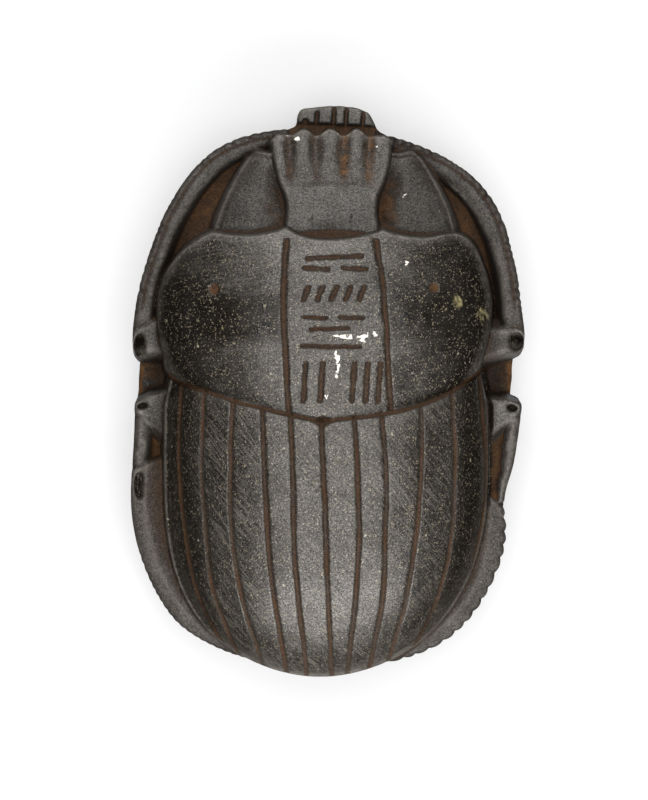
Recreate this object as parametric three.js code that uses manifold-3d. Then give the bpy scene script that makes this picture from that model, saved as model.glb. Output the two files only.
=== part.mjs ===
// Large stone scarab amulet: a beetle carved in one block on its own oval base slab.
// Millimetres, +Z up, +Y towards the head, flat underside at z = 0.
import * as THREE from 'three';
import { mergeVertices } from 'three/addons/utils/BufferGeometryUtils.js';
import Module from 'manifold-3d';

const wasm = await Module();
wasm.setup();

// ---------------------------------------------------------------- driving sizes
const BASE = {
  height: 4.6,
  edgeBevel: 0.45,
  headHalfWidth: 26.6,
  headCentreY: 6.0,
  headLength: 30.85,
  headPower: 2.58,
  tailHalfWidth: 26.5,
  tailCentreY: -12.0,
  tailLength: 26.95,
  tailPower: 2.45,
  // x of the middle line at some stations in y: the hand-cut outline isn't quite symmetrical
  lean: [
    [-40, -1.1], [-28, -1.0], [-15, -1.4], [0, -0.4],
    [12, -0.1], [23, 0.35], [30, 0.1], [36, -1.3],
  ],
  spans: 26, // straight spans along each half of the slab's edge
};
const WELD = 0.02; // edges shorter than this are closed up at the end
const BODY_FOOT = 1.0; // every carved form starts inside the slab, so that all of them join

const ELYTRA = {
  halfWidth: 22.65,
  centreY: -8.0,
  tailLength: 32.15,
  lengthPower: 3.0, // the outline behind the widest part is w * (1 - t ^ lengthPower) ^ widthPower
  widthPower: 0.51,
  crest: 30.0,
  sideRim: 13.0,
  tailRim: 7.5,
  crossPower: 2.7, // the back is a little flatter across than a circle's arc
  fallPower: 2.7, // and so is its fall to the tail
  grooveHalfWidth: 0.42,
  grooveDepth: 0.5,
  // where each striation crosses the widest part, from the left flank to the right flank
  striations: [-20.5, -17.2, -13.1, -8.5, -4.6, -0.4, 3.9, 7.8, 12.4, 17.2, 21.2],
  gather: 0.65, // how strongly the striations run together towards the tail
  leanFront: -0.2, // x of the wing cases' middle line
  leanTail: -1.1,
  shoulder: 1.2, // how far the wing cases draw in under the prothorax
};
const JUNCTION = {
  lowestY: -3.8,
  bow: 0.0162,
  centreX: -0.5,
  halfWidth: 0.38,
  depth: 0.6,
};
const PROTHORAX = {
  halfWidth: 23.3,
  offsetX: -0.25,
  widestY: 10.5,
  frontReach: 12.6,
  frontPower: 3.0,
  rearReach: 18.0,
  frontY: 21.5,
  sideRim: 14.5,
  cornerRim: 13.4,
  crestRear: 28.7,
  crestFront: 22.3,
  slopePower: 2.0, // the back falls to its front edge as the distance to this power
  rightCorner: [18.8, 21.0], // the right front corner stands a little further out than the left one
  panelLeft: [-5.6, -6.0], // x at the rear and at the front of the left panel line
  panelRight: [8.7, 6.9],
  grooveHalfWidth: 0.42,
  grooveDepth: 0.5,
};
const PLATE = { // the fluted head plate
  centreX: 0.6,
  rearY: 22.4,
  frontY: 36.5,
  neckY: 25.2,
  frontHalfWidth: 8.35,
  neckHalfWidth: 6.15,
  rearTop: 19.6,
  frontTop: 12.6,
  fluteStart: 0.45, // share of the plate's length at which the flutes begin
  fluteDepth: 0.75,
  fluteSpacing: 3.85,
  scallop: 0.42,
  cornerDrop: 1.0, // how far the two front corners stay back
};
const LOBE = { // the eye lobe on each side of the plate, with x measured from the lobes' middle
  centreX: 0.9,
  rearY: 21,
  frontY: 33.6,
  innerRear: 4.6,
  innerFront: 8.2,
  outerRear: 17.0,
  outerFront: 11.9,
  outerPower: 1.9, // above 1, the outer edge bows outwards
  frontCorner: 1.1,
  rearTop: 16.8,
  frontTop: 12.4,
  crown: 1.0,
  fall: 2.2,
};
const HEAD_FLOOR = { // channel between the front legs and the head
  top: 7.6,
  inset: 1.6,
  rearY: 8,
};
const TEETH = {
  left: -3.9,
  right: 6.0,
  rearY: 36.4,
  frontY: 40.5,
  frontBow: 0.9,
  ledgeY: 37.8,
  ledgeSlope: 0.4,
  top: 7.7,
  edgeDrop: 0.6,
  grooves: [-1.0, 1.35, 3.2, 5.4],
  grooveHalfWidth: 0.3,
  grooveDepth: 0.6,
  // foot of the toothed front where it runs down over the end of the slab
  foot: [
    [-9, 35.0], [-6.4, 37.1], [-4.9, 37.7], [-4.5, 39.4], [-3.4, 40.1], [0.9, 40.4],
    [4.6, 40.1], [5.8, 39.3], [6.6, 37.4], [9.0, 35.2],
  ],
};

// The legs follow the slab's edge. undercut is the depth of the line that parts a leg from the slab,
// and outer is how far its outer face stands inside the edge: a negative one overhangs it.
const ARM = {
  fromY: 36.6,
  toY: 9.5,
  undercut: 0.65,
  outer: [0, -0.5],
  width: [1.3, 3.0],
  wristShare: 0.3, // share of the arm over which it widens from its tip
  kneeNarrowing: 0.6,
  top: [8.6, 11.6],
};
const KNEE = {
  fromY: 10.2,
  toY: 4.0,
  undercut: 0.5,
  outer: [-0.8, 1.6],
  width: 5.2,
  top: [11.7, 13.0],
};
const KNUCKLE = { // knee of the middle leg
  fromY: -0.9,
  toY: -5.0,
  undercut: 0.5,
  outerFront: 0.9,
  outerLeft: -0.3,
  outerRight: -0.95,
  width: 5.3,
  top: [13.0, 12.2],
};
const SHIN = {
  fromY: -4.6,
  toLeft: -10,
  toRight: -14.8,
  undercut: 0.65,
  outerLeft: [-0.2, -0.2],
  outerRight: [-0.9, 0.2],
  width: [2.3, 1.6],
  top: [12, 10],
};
const HIND = {
  fromLeft: -9.4,
  fromRight: -15.4,
  toY: -38.8,
  undercut: 0.8,
  outer: [-0.2, 0.2],
  width: [5.6, 2.2],
  topLeft: [12.2, 7.0],
  topRight: [10.6, 7.0],
  teeth: 18, // lobes cut in the outer edge of the right hind leg
  toothDepth: 0.2,
  startSet: 0.6, // how far the toothed leg starts inside its own line
};
const STROKE = { // rows of plain strokes down the middle panel
  width: 0.7,
  depth: 0.42,
  rows: [
    { y: 18.2, length: 7.8, angle: 3, xs: [0.9] },
    { y: 16.6, length: 3.6, angle: -4, xs: [-1.6, 3.6] },
    { y: 13.2, length: 2.4, angle: 68, xs: [-3.0, -1.1, 0.8, 2.7, 4.6] },
    { y: 9.9, length: 3.4, angle: -3, xs: [-1.8, 3.2] },
    { y: 8.4, length: 5.4, angle: 2, xs: [0.2] },
    { y: 6.0, length: 8.2, angle: -1, xs: [0.4] },
    { y: 1.2, length: 5.6, angle: 86, xs: [-3.2, -0.9, 3.4, 5.2, 6.9] },
  ],
};
const PITS = {
  radius: 0.65,
  places: [[-15.5, 14.4], [14.5, 14.6]],
};

// ---------------------------------------------------------------- helpers
const clamp = (value, low, high) => Math.min(high, Math.max(low, value));
const mix = (a, b, t) => a + (b - a) * t;
const smooth = (low, high, value) => {
  const t = clamp((value - low) / (high - low), 0, 1);
  return t * t * (3 - 2 * t);
};
const evenly = (count, low, high) =>
  Array.from({ length: count + 1 }, (_, i) => mix(low, high, i / count));

// Dome profile: 1 at the crest, 0 at the rim, with a finite slope at the rim.
const ROUNDNESS = 0.93;
const dome = (q, power = 2) => {
  const reach = clamp(q, 0, 1.06) * ROUNDNESS;
  const rimLevel = Math.sqrt(1 - ROUNDNESS ** power);
  return (Math.sqrt(1 - reach ** power) - rimLevel) / (1 - rimLevel);
};

function solidFrom(geometry) {
  const plain = geometry.clone();
  plain.deleteAttribute('normal');
  plain.deleteAttribute('uv');
  const merged = mergeVertices(plain, 1e-5);
  return new wasm.Manifold(new wasm.Mesh({
    numProp: 3,
    vertProperties: new Float32Array(merged.attributes.position.array),
    triVerts: new Uint32Array(merged.index.array),
  }));
}

// The joined surface with every edge shorter than the weld closed up, so that no sliver is left.
function geometryFrom(solid) {
  const { vertProperties, triVerts } = solid.getMesh();
  const leader = Array.from({ length: vertProperties.length / 3 }, (_, i) => i);
  const leaderOf = (i) => {
    let at = i;
    while (leader[at] !== at) at = leader[at];
    return at;
  };
  const corner = (i) => new THREE.Vector3().fromArray(vertProperties, 3 * i);
  const corners = [0, 1, 2];
  for (let t = 0; t < triVerts.length; t += 3) {
    for (const k of corners) {
      const a = triVerts[t + k];
      const b = triVerts[t + (k + 1) % 3];
      if (corner(a).distanceTo(corner(b)) < WELD) leader[leaderOf(b)] = leaderOf(a);
    }
  }
  const faces = new Map();
  for (let t = 0; t < triVerts.length; t += 3) {
    const face = corners.map((k) => leaderOf(triVerts[t + k]));
    if (new Set(face).size < 3) continue;
    const key = face.slice().sort((a, b) => a - b).join();
    if (faces.has(key)) faces.delete(key);
    else faces.set(key, face);
  }
  const geometry = new THREE.BufferGeometry();
  geometry.setAttribute('position', new THREE.BufferAttribute(vertProperties, 3));
  geometry.setIndex([...faces.values()].flat());
  const welded = mergeVertices(geometry, 1e-5);
  welded.computeVertexNormals();
  return welded;
}

// A closed block under a grid of surface points: rows run along +X, one after another along +Y.
function blockUnder(rows, bottom) {
  const across = rows[0].length;
  const count = rows.length * across;
  const top = rows.flat();
  const below = top.map((p) => new THREE.Vector3(p.x, p.y, bottom));
  const points = top.concat(below);
  const index = [];
  for (let j = 0; j + 1 < rows.length; j += 1) {
    for (let i = 0; i + 1 < across; i += 1) {
      const a = j * across + i;
      const b = a + 1;
      const c = b + across;
      const d = a + across;
      index.push(a, b, c, a, c, d);
      index.push(count + a, count + c, count + b, count + a, count + d, count + c);
    }
  }
  const border = [];
  for (let i = 0; i + 1 < across; i += 1) border.push(i);
  for (let j = 0; j + 1 < rows.length; j += 1) border.push(j * across + across - 1);
  for (let i = across - 1; i > 0; i -= 1) border.push((rows.length - 1) * across + i);
  for (let j = rows.length - 1; j > 0; j -= 1) border.push(j * across);
  border.forEach((a, k) => {
    const b = border[(k + 1) % border.length];
    index.push(a, count + a, count + b, a, count + b, b);
  });
  return solidFromPoints(points, index);
}

// A closed body through equal rings of points, with each end closed by a fan from the ring's first point.
function loft(rings) {
  const around = rings[0].length;
  const points = rings.flat();
  const index = [];
  for (let j = 0; j + 1 < rings.length; j += 1) {
    for (let i = 0; i < around; i += 1) {
      const a = j * around + i;
      const b = j * around + (i + 1) % around;
      index.push(a, b, b + around, a, b + around, a + around);
    }
  }
  const last = (rings.length - 1) * around;
  for (let i = 1; i + 1 < around; i += 1) {
    index.push(0, i + 1, i);
    index.push(last, last + i, last + i + 1);
  }
  return solidFromPoints(points, index);
}

function solidFromPoints(points, index) {
  const geometry = new THREE.BufferGeometry().setFromPoints(points);
  geometry.setIndex(index);
  const solid = solidFrom(geometry);
  if (solid.volume() > 0) return solid;
  const flipped = index.map((_, k) => index[k + 2 - 2 * (k % 3)]); // each face turned round
  geometry.setIndex(flipped);
  return solidFrom(geometry);
}

function prism(outline, bottom, top) {
  const shape = new THREE.Shape(outline.map((p) => new THREE.Vector2(p.x, p.y)));
  const geometry = new THREE.ExtrudeGeometry(shape, { depth: top - bottom, bevelEnabled: false });
  geometry.translate(0, 0, bottom);
  return solidFrom(geometry);
}

// ---------------------------------------------------------------- outline of the slab
function lean(y) {
  const stations = BASE.lean;
  const next = stations.findIndex(([at]) => at >= y);
  if (next === 0) return stations[0][1];
  if (next < 0) return stations[stations.length - 1][1];
  const [lowY, lowX] = stations[next - 1];
  const [highY, highX] = stations[next];
  return mix(lowX, highX, smooth(lowY, highY, y));
}

function slabRim(side) {
  const points = [];
  const steps = 20;
  for (let k = 0; k <= steps; k += 1) {
    const angle = (Math.PI / 2) * (1 - k / steps);
    const x = BASE.headHalfWidth * Math.cos(angle) ** (2 / BASE.headPower);
    const y = BASE.headCentreY + BASE.headLength * Math.sin(angle) ** (2 / BASE.headPower);
    points.push(new THREE.Vector3(lean(y) + side * x, y, 0));
  }
  for (let k = 0; k <= steps; k += 1) {
    const angle = (Math.PI / 2) * (k / steps);
    const x = BASE.tailHalfWidth * Math.cos(angle) ** (2 / BASE.tailPower);
    const y = BASE.tailCentreY - BASE.tailLength * Math.sin(angle) ** (2 / BASE.tailPower);
    points.push(new THREE.Vector3(lean(y) + side * x, y, 0));
  }
  return new THREE.CatmullRomCurve3(points);
}

const LEFT = -1;
const RIGHT = 1;
const RIMS = { [LEFT]: slabRim(LEFT), [RIGHT]: slabRim(RIGHT) };

// Share of the rim's length, from the head to the tail, at which it passes a given y.
function rimShare(side, y) {
  let low = 0;
  let high = 1;
  for (let step = 0; step < 24; step += 1) {
    const middle = (low + high) / 2;
    if (RIMS[side].getPointAt(middle).y > y) low = middle;
    else high = middle;
  }
  return (low + high) / 2;
}

// A point at a depth inside the rim and at a height.
function rimPoint(side, share, depth, z) {
  const point = RIMS[side].getPointAt(share);
  const along = RIMS[side].getTangentAt(share);
  const inward = new THREE.Vector3(side * along.y, -side * along.x, 0).normalize();
  return new THREE.Vector3(point.x + inward.x * depth, point.y + inward.y * depth, z);
}

// ---------------------------------------------------------------- slab and head floor
function slab() {
  const left = RIMS[LEFT].getSpacedPoints(BASE.spans);
  const right = RIMS[RIGHT].getSpacedPoints(BASE.spans).reverse();
  const outline = left.concat(right.slice(1, -1));
  const shape = new THREE.Shape(outline.map((p) => new THREE.Vector2(p.x, p.y)));
  const geometry = new THREE.ExtrudeGeometry(shape, {
    depth: BASE.height - 2 * BASE.edgeBevel,
    bevelThickness: BASE.edgeBevel,
    bevelSize: BASE.edgeBevel,
    bevelOffset: -BASE.edgeBevel,
    bevelSegments: 1,
  });
  geometry.translate(0, 0, BASE.edgeBevel);
  return solidFrom(geometry);
}

function headFloor() {
  const outline = [];
  for (const side of [LEFT, RIGHT]) {
    const end = rimShare(side, HEAD_FLOOR.rearY);
    const run = evenly(10, 0.02, end).map((share) => rimPoint(side, share, HEAD_FLOOR.inset, 0));
    outline.push(...(side === LEFT ? run.reverse() : run));
  }
  return prism(outline, BODY_FOOT, HEAD_FLOOR.top);
}

// ---------------------------------------------------------------- toothed front of the head
function teeth() {
  const { left, right, rearY, frontY, frontBow, ledgeY, ledgeSlope, top, edgeDrop } = TEETH;
  const { grooves, grooveHalfWidth, grooveDepth } = TEETH;
  const columns = [{ x: left - 0.5, drop: 0.8 }, { x: left, drop: 0.1 }];
  for (const x of grooves) {
    columns.push({ x: x - grooveHalfWidth, drop: 0 });
    columns.push({ x, drop: grooveDepth });
    columns.push({ x: x + grooveHalfWidth, drop: 0 });
  }
  columns.push({ x: right - 0.2, drop: 0.1 }, { x: right + 0.4, drop: 0.9 });
  const middle = (left + right) / 2;
  const reach = (x) => frontY - frontBow * (Math.abs(x - middle) / (right - middle)) ** 4;
  const rows = [
    { y: () => rearY, toothed: 0, drop: 0 },
    { y: () => ledgeY - ledgeSlope, toothed: 0, drop: edgeDrop / 3 },
    { y: () => ledgeY, toothed: 1, drop: edgeDrop },
    { y: () => ledgeY + ledgeSlope, toothed: 1, drop: 0 },
    { y: (x) => reach(x) - ledgeSlope, toothed: 1, drop: 0 },
    { y: (x) => reach(x), toothed: 1, drop: edgeDrop },
  ];
  const grid = rows.map((row) => columns.map((column) => {
    const z = top - Math.max(row.drop, column.drop * row.toothed);
    return new THREE.Vector3(column.x, row.y(column.x), z);
  }));
  return blockUnder(grid, BODY_FOOT);
}

function headFoot() {
  const outline = TEETH.foot.map(([x, y]) => new THREE.Vector3(x, y, 0));
  return prism(outline, 0, BASE.height + 1.0);
}

// ---------------------------------------------------------------- fluted head plate
function headPlate() {
  const { centreX, rearY, frontY, neckY, frontHalfWidth, neckHalfWidth, rearTop, frontTop } = PLATE;
  const halfWidth = (y) => {
    const t = clamp((y - neckY) / (frontY - 1 - neckY), 0, 1);
    const flare = (frontHalfWidth - neckHalfWidth) * Math.sin(t * Math.PI / 2);
    return neckHalfWidth + flare + 0.15 * Math.max(0, neckY - y);
  };
  const valley = (u) => 0.5 - 0.5 * Math.cos((2 * Math.PI * u * frontHalfWidth) / PLATE.fluteSpacing);
  const grid = evenly(12, 0, 1).map((v) => evenly(26, -1, 1).map((u) => {
    const corner = PLATE.cornerDrop * smooth(0.8, 0.95, Math.abs(u));
    const front = frontY + PLATE.scallop * (1 - 2 * valley(u)) - corner;
    const y = mix(rearY - 1, front, v);
    const fluted = Math.abs(u) > 0.93 ? 0 : smooth(PLATE.fluteStart, 1, v);
    const z = mix(rearTop, frontTop, v) - PLATE.fluteDepth * valley(u) * fluted - 0.5 * u * u;
    return new THREE.Vector3(centreX + u * halfWidth(y), y, z);
  }));
  return blockUnder(grid, BODY_FOOT);
}

// ---------------------------------------------------------------- eye lobes
function eyeLobe(side) {
  const grid = evenly(9, 0, 1).map((v) => evenly(7, 0, 1).map((u) => {
    const y = mix(LOBE.rearY, LOBE.frontY - (1 - u) ** 2, v);
    const inner = mix(LOBE.innerRear, LOBE.innerFront, v);
    const bowed = mix(LOBE.outerRear, LOBE.outerFront, v ** LOBE.outerPower);
    const outer = bowed - LOBE.frontCorner * smooth(0.85, 1, v);
    const top = mix(LOBE.rearTop, LOBE.frontTop, v);
    const bulge = LOBE.crown * Math.sin(Math.PI * u) - LOBE.fall * u * u;
    return new THREE.Vector3(LOBE.centreX + side * mix(inner, outer, u), y, top + bulge);
  }));
  return blockUnder(grid, BODY_FOOT);
}

// ---------------------------------------------------------------- prothorax
const junctionY = (x) => JUNCTION.lowestY + JUNCTION.bow * (x - JUNCTION.centreX) ** 2;

function prothoraxHalfWidth(y) {
  const { halfWidth, widestY, frontReach, frontPower, rearReach } = PROTHORAX;
  if (y > widestY) {
    const t = Math.min((y - widestY) / frontReach, 0.995);
    return halfWidth * (1 - t ** frontPower) ** (1 / frontPower);
  }
  return halfWidth * Math.sqrt(1 - ((widestY - y) / rearReach) ** 2);
}

function prothoraxTop(x, y) {
  const { offsetX, sideRim, cornerRim, crestRear, crestFront, frontY, slopePower } = PROTHORAX;
  const forward = Math.max(0, y / frontY) ** slopePower;
  const crest = mix(crestRear, crestFront, forward);
  const rim = mix(sideRim, cornerRim, forward);
  const width = prothoraxHalfWidth(Math.min(y, 18));
  return rim + (crest - rim) * dome(Math.abs(x - offsetX) / width);
}

// The front edge dips over the head plate and again between the plate and each corner.
function prothoraxFront(x) {
  const reach = Math.abs(x - PLATE.centreX);
  if (reach < 6.5) return PROTHORAX.frontY - 0.9 + 1.4 * (reach / 6.5) ** 2;
  return PROTHORAX.frontY + 0.5 * Math.cos((2 * Math.PI * (reach - 6.5)) / 10);
}

function prothorax() {
  const { offsetX, grooveHalfWidth, grooveDepth } = PROTHORAX;
  const columns = [];
  const plain = (xs) => xs.forEach((x) => columns.push({ at: () => x, drop: 0 }));
  const grooved = ([rear, front]) => {
    const at = (y) => mix(rear, front, clamp((y + 3) / 24, 0, 1));
    columns.push({ at: (y) => at(y) - grooveHalfWidth, drop: 0 });
    columns.push({ at, drop: grooveDepth });
    columns.push({ at: (y) => at(y) + grooveHalfWidth, drop: 0 });
  };
  plain([-24.2, -22.6, -21.4, -20, -18.2, -16, -13.5, -11, -8.5]);
  grooved(PROTHORAX.panelLeft);
  plain([-3.2, 0.6, 4.2]);
  grooved(PROTHORAX.panelRight);
  plain([10.5, 13, 15.5, 17.6, 19.2, 20.4, 21.4, 22.8]);
  const rows = evenly(13, 0, 1).map((v) => columns.map(({ at, drop }) => {
    const rearY = junctionY(at(0)) - 0.2;
    const y = mix(rearY, 23.5, v);
    const x = at(y);
    return new THREE.Vector3(x, y, prothoraxTop(x, y) - drop);
  }));
  const outline = [];
  const rearLeft = offsetX - prothoraxHalfWidth(3);
  const rearRight = offsetX + prothoraxHalfWidth(3);
  for (const x of evenly(16, rearLeft, rearRight)) {
    outline.push(new THREE.Vector3(x, junctionY(x) + JUNCTION.halfWidth, 0));
  }
  const sideYs = [5.5, 8, 10.5, 13, 15, 17, 18.6, 19.9, 20.9];
  for (const y of sideYs) outline.push(new THREE.Vector3(offsetX + prothoraxHalfWidth(y), y, 0));
  outline.push(new THREE.Vector3(...PROTHORAX.rightCorner, 0));
  for (const x of evenly(24, 17.6, -17)) outline.push(new THREE.Vector3(x, prothoraxFront(x), 0));
  for (const y of sideYs.slice().reverse()) {
    outline.push(new THREE.Vector3(offsetX - prothoraxHalfWidth(y), y, 0));
  }
  return blockUnder(rows, BODY_FOOT).intersect(prism(outline, BODY_FOOT, 40));
}

// ---------------------------------------------------------------- elytra
const elytraLean = (y) => mix(ELYTRA.leanFront, ELYTRA.leanTail, smooth(-10, -40, y));

function elytraHalfWidth(y) {
  const t = clamp((ELYTRA.centreY - y) / ELYTRA.tailLength, 0, 0.9995);
  const drawnIn = ELYTRA.shoulder * smooth(-3, 4, y);
  return ELYTRA.halfWidth * (1 - t ** ELYTRA.lengthPower) ** ELYTRA.widthPower - drawnIn;
}

function elytraTop(x, y) {
  const behind = Math.max(0, ELYTRA.centreY - y) / ELYTRA.tailLength;
  const beside = Math.abs(x - elytraLean(y)) / elytraHalfWidth(y);
  const rim = mix(ELYTRA.sideRim, ELYTRA.tailRim, smooth(-8, -38, y));
  const crest = ELYTRA.crest - 0.9 * smooth(-10, 2, y);
  const fall = Math.sqrt(clamp(1 - behind ** ELYTRA.fallPower, 0, 1));
  return rim + (crest - rim) * fall * dome(beside, ELYTRA.crossPower);
}

function elytra() {
  const { halfWidth, centreY, tailLength, striations, gather } = ELYTRA;
  const { grooveHalfWidth, grooveDepth } = ELYTRA;
  const lineAt = (start) => (y) => {
    const closeIn = (elytraHalfWidth(Math.min(y, centreY)) / halfWidth) ** gather;
    return start * closeIn + 0.5 * smooth(-5, -38, y);
  };
  const columns = [{ start: -halfWidth * 1.04, shift: 0, drop: 0 }, { start: -21.9, shift: 0, drop: 0 }];
  striations.forEach((start, k) => {
    columns.push({ start, shift: -grooveHalfWidth, drop: 0 });
    columns.push({ start, shift: 0, drop: grooveDepth });
    columns.push({ start, shift: grooveHalfWidth, drop: 0 });
    const next = striations[k + 1];
    if (next) columns.push({ start: (start + next) / 2, shift: 0, drop: 0 });
  });
  columns.push({ start: halfWidth * 1.04, shift: 0, drop: 0 });
  const tail = centreY - tailLength - 0.4;
  const behind = [-1.4, 0, JUNCTION.halfWidth];
  const spread = [0.06, 0.14, 0.23, 0.33, 0.43, 0.53, 0.62, 0.7, 0.77, 0.83, 0.88, 0.92, 0.95, 0.975, 1];
  const rows = behind.concat(spread).map((step, j) => columns.map(({ start, shift, drop }) => {
    const lead = junctionY(start);
    const y = j < behind.length ? lead - step : mix(lead - JUNCTION.halfWidth, tail, step);
    const x = lineAt(start)(y) + shift;
    const sunk = j < 2 ? JUNCTION.depth : 0;
    return new THREE.Vector3(x, y, elytraTop(x, y) - Math.max(drop, sunk));
  }));
  const outline = [];
  const ys = [4.5, 2, -1, -5];
  for (const turn of evenly(15, 0, 0.96 * Math.PI / 2)) ys.push(centreY - tailLength * Math.sin(turn));
  for (const y of ys) outline.push(new THREE.Vector3(elytraLean(y) - elytraHalfWidth(y), y, 0));
  outline.push(new THREE.Vector3(elytraLean(tail), centreY - tailLength, 0));
  for (const y of ys.slice().reverse()) {
    outline.push(new THREE.Vector3(elytraLean(y) + elytraHalfWidth(y), y, 0));
  }
  return blockUnder(rows.reverse(), BODY_FOOT).intersect(prism(outline, BODY_FOOT, 40));
}

// ---------------------------------------------------------------- legs
// A leg is lofted along the rim. Its outer face hangs over the line that parts it from the slab.
function legStrip(side, fromY, toY, steps, section) {
  const start = rimShare(side, fromY);
  const end = rimShare(side, toY);
  return loft(evenly(steps, 0, 1).map((t) => {
    const share = mix(start, end, t);
    return section(t).map(([depth, z]) => rimPoint(side, share, depth, z));
  }));
}

// Its section, as depths inside the rim and heights, begins at the inner top corner: from there
// the fan that closes each end stays inside the section.
function legSection(undercut, outer, width, top, innerDrop) {
  const line = undercut + Math.max(outer, 0);
  return [
    [width, top - innerDrop],
    [width, BODY_FOOT],
    [line, BODY_FOOT],
    [line, BASE.height + 0.3],
    [outer, BASE.height + 0.9],
    [outer, top - 1.5],
    [outer + 0.8, top - 0.3],
    [mix(outer, width, 0.55), top],
    [width - 0.4, top - innerDrop * 0.6],
  ];
}

function frontLeg(side) {
  const arm = legStrip(side, ARM.fromY, ARM.toY, 20, (t) => {
    const outer = mix(...ARM.outer, smooth(0, ARM.wristShare, t));
    const widened = mix(...ARM.width, smooth(0, ARM.wristShare, t));
    const width = widened - ARM.kneeNarrowing * smooth(0.6, 1, t);
    return legSection(ARM.undercut, outer, width, mix(...ARM.top, t), 0.8);
  });
  const knee = legStrip(side, KNEE.fromY, KNEE.toY, 5, (t) => {
    const outer = mix(...KNEE.outer, smooth(0.7, 1, t));
    return legSection(KNEE.undercut, outer, KNEE.width, mix(...KNEE.top, smooth(0, 0.3, t)), 0.5);
  });
  return arm.add(knee);
}

function middleLeg(side) {
  const left = side === LEFT;
  const knuckle = legStrip(side, KNUCKLE.fromY, KNUCKLE.toY, 4, (t) => {
    const full = left ? KNUCKLE.outerLeft : KNUCKLE.outerRight;
    const outer = mix(KNUCKLE.outerFront, full, smooth(0, 0.35, t));
    return legSection(KNUCKLE.undercut, outer, KNUCKLE.width, mix(...KNUCKLE.top, t), 0.6);
  });
  const shin = legStrip(side, SHIN.fromY, left ? SHIN.toLeft : SHIN.toRight, 6, (t) => {
    const outer = mix(...(left ? SHIN.outerLeft : SHIN.outerRight), t);
    return legSection(SHIN.undercut, outer, outer + mix(...SHIN.width, t), mix(...SHIN.top, t), 0.9);
  });
  return knuckle.add(shin);
}

function hindLeg(side) {
  const toothed = side === RIGHT;
  const steps = toothed ? 3 * HIND.teeth : 20;
  return legStrip(side, toothed ? HIND.fromRight : HIND.fromLeft, HIND.toY, steps, (t) => {
    const width = mix(...HIND.width, smooth(0.2, 1, t));
    const top = mix(...(toothed ? HIND.topRight : HIND.topLeft), t);
    const notch = toothed ? HIND.toothDepth * Math.cos(2 * Math.PI * HIND.teeth * t) : 0;
    const setIn = toothed ? HIND.startSet * (1 - smooth(0, 0.1, t)) : 0;
    const outer = mix(...HIND.outer, smooth(0.7, 1, t)) + notch + setIn;
    return legSection(HIND.undercut, outer, width, top, 1.6);
  });
}

// ---------------------------------------------------------------- strokes and pits
// A shallow V-shaped cut in the back, narrowed at both ends, that follows the surface.
function stroke(x, y, length, angle) {
  const turn = THREE.MathUtils.degToRad(angle);
  const along = new THREE.Vector3(Math.cos(turn), Math.sin(turn), 0);
  const across = new THREE.Vector3(-along.y, along.x, 0);
  const stations = [[-0.5, 0.2], [-0.38, 1], [0, 1], [0.38, 1], [0.5, 0.2]];
  return loft(stations.map(([share, full]) => {
    const middle = new THREE.Vector3(x, y, 0).addScaledVector(along, share * length);
    const surface = prothoraxTop(middle.x, middle.y);
    const half = STROKE.width * full;
    const left = middle.clone().addScaledVector(across, half).setZ(surface + STROKE.depth);
    const right = middle.clone().addScaledVector(across, -half).setZ(surface + STROKE.depth);
    return [left, right, middle.setZ(surface - STROKE.depth * full)];
  }));
}

function strokeRows() {
  const rowOf = ({ y, length, angle, xs }) => xs.map((x) => stroke(x, y, length, angle));
  return STROKE.rows.flatMap(rowOf);
}

function pits() {
  return PITS.places.map(([x, y]) => {
    const geometry = new THREE.OctahedronGeometry(PITS.radius, 0);
    geometry.translate(x, y, prothoraxTop(x, y));
    return solidFrom(geometry);
  });
}

// ---------------------------------------------------------------- the whole stone
function scarab() {
  const forms = [
    headFloor(), headFoot(), teeth(), headPlate(), prothorax(), elytra(),
    ...[LEFT, RIGHT].flatMap((side) => [eyeLobe(side), frontLeg(side), middleLeg(side), hindLeg(side)]),
  ];
  const joined = forms.reduce((whole, form) => whole.add(form), slab());
  const carved = strokeRows().concat(pits()).reduce((whole, cut) => whole.subtract(cut), joined);
  const geometry = geometryFrom(carved);
  geometry.computeBoundingBox();
  const centre = geometry.boundingBox.getCenter(new THREE.Vector3());
  geometry.translate(-centre.x, -centre.y, -geometry.boundingBox.min.z);
  return geometry;
}

const stone = new THREE.MeshStandardMaterial({ color: 0x3b3a3a, roughness: 0.5, metalness: 0 });
const mesh = new THREE.Mesh(scarab(), stone);
mesh.name = 'scarab';

const group = new THREE.Group();
group.add(mesh);

export default group;
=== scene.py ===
"""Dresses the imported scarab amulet: one carved, worn, speckled stone lying on a pale studio floor."""

import logging
import math
from dataclasses import dataclass
from enum import Enum

import bpy
import numpy as np
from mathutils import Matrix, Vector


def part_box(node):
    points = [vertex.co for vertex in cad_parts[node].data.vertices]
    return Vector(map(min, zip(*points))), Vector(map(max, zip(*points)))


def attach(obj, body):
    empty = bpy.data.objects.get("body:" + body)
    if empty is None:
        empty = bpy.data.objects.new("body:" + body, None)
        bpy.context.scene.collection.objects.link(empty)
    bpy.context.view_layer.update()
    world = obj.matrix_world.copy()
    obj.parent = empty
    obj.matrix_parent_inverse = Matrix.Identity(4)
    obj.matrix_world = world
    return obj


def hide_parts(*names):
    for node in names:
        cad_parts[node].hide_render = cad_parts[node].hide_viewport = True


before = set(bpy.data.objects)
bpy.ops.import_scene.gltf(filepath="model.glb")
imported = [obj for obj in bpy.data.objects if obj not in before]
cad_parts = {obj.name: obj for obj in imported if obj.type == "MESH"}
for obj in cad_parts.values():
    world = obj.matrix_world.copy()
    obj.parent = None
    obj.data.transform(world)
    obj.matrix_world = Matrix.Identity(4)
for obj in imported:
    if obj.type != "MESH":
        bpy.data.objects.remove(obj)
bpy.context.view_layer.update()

MM = 0.001
BURIED = -5.0  # a height below the underside, where a form doesn't reach
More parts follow.
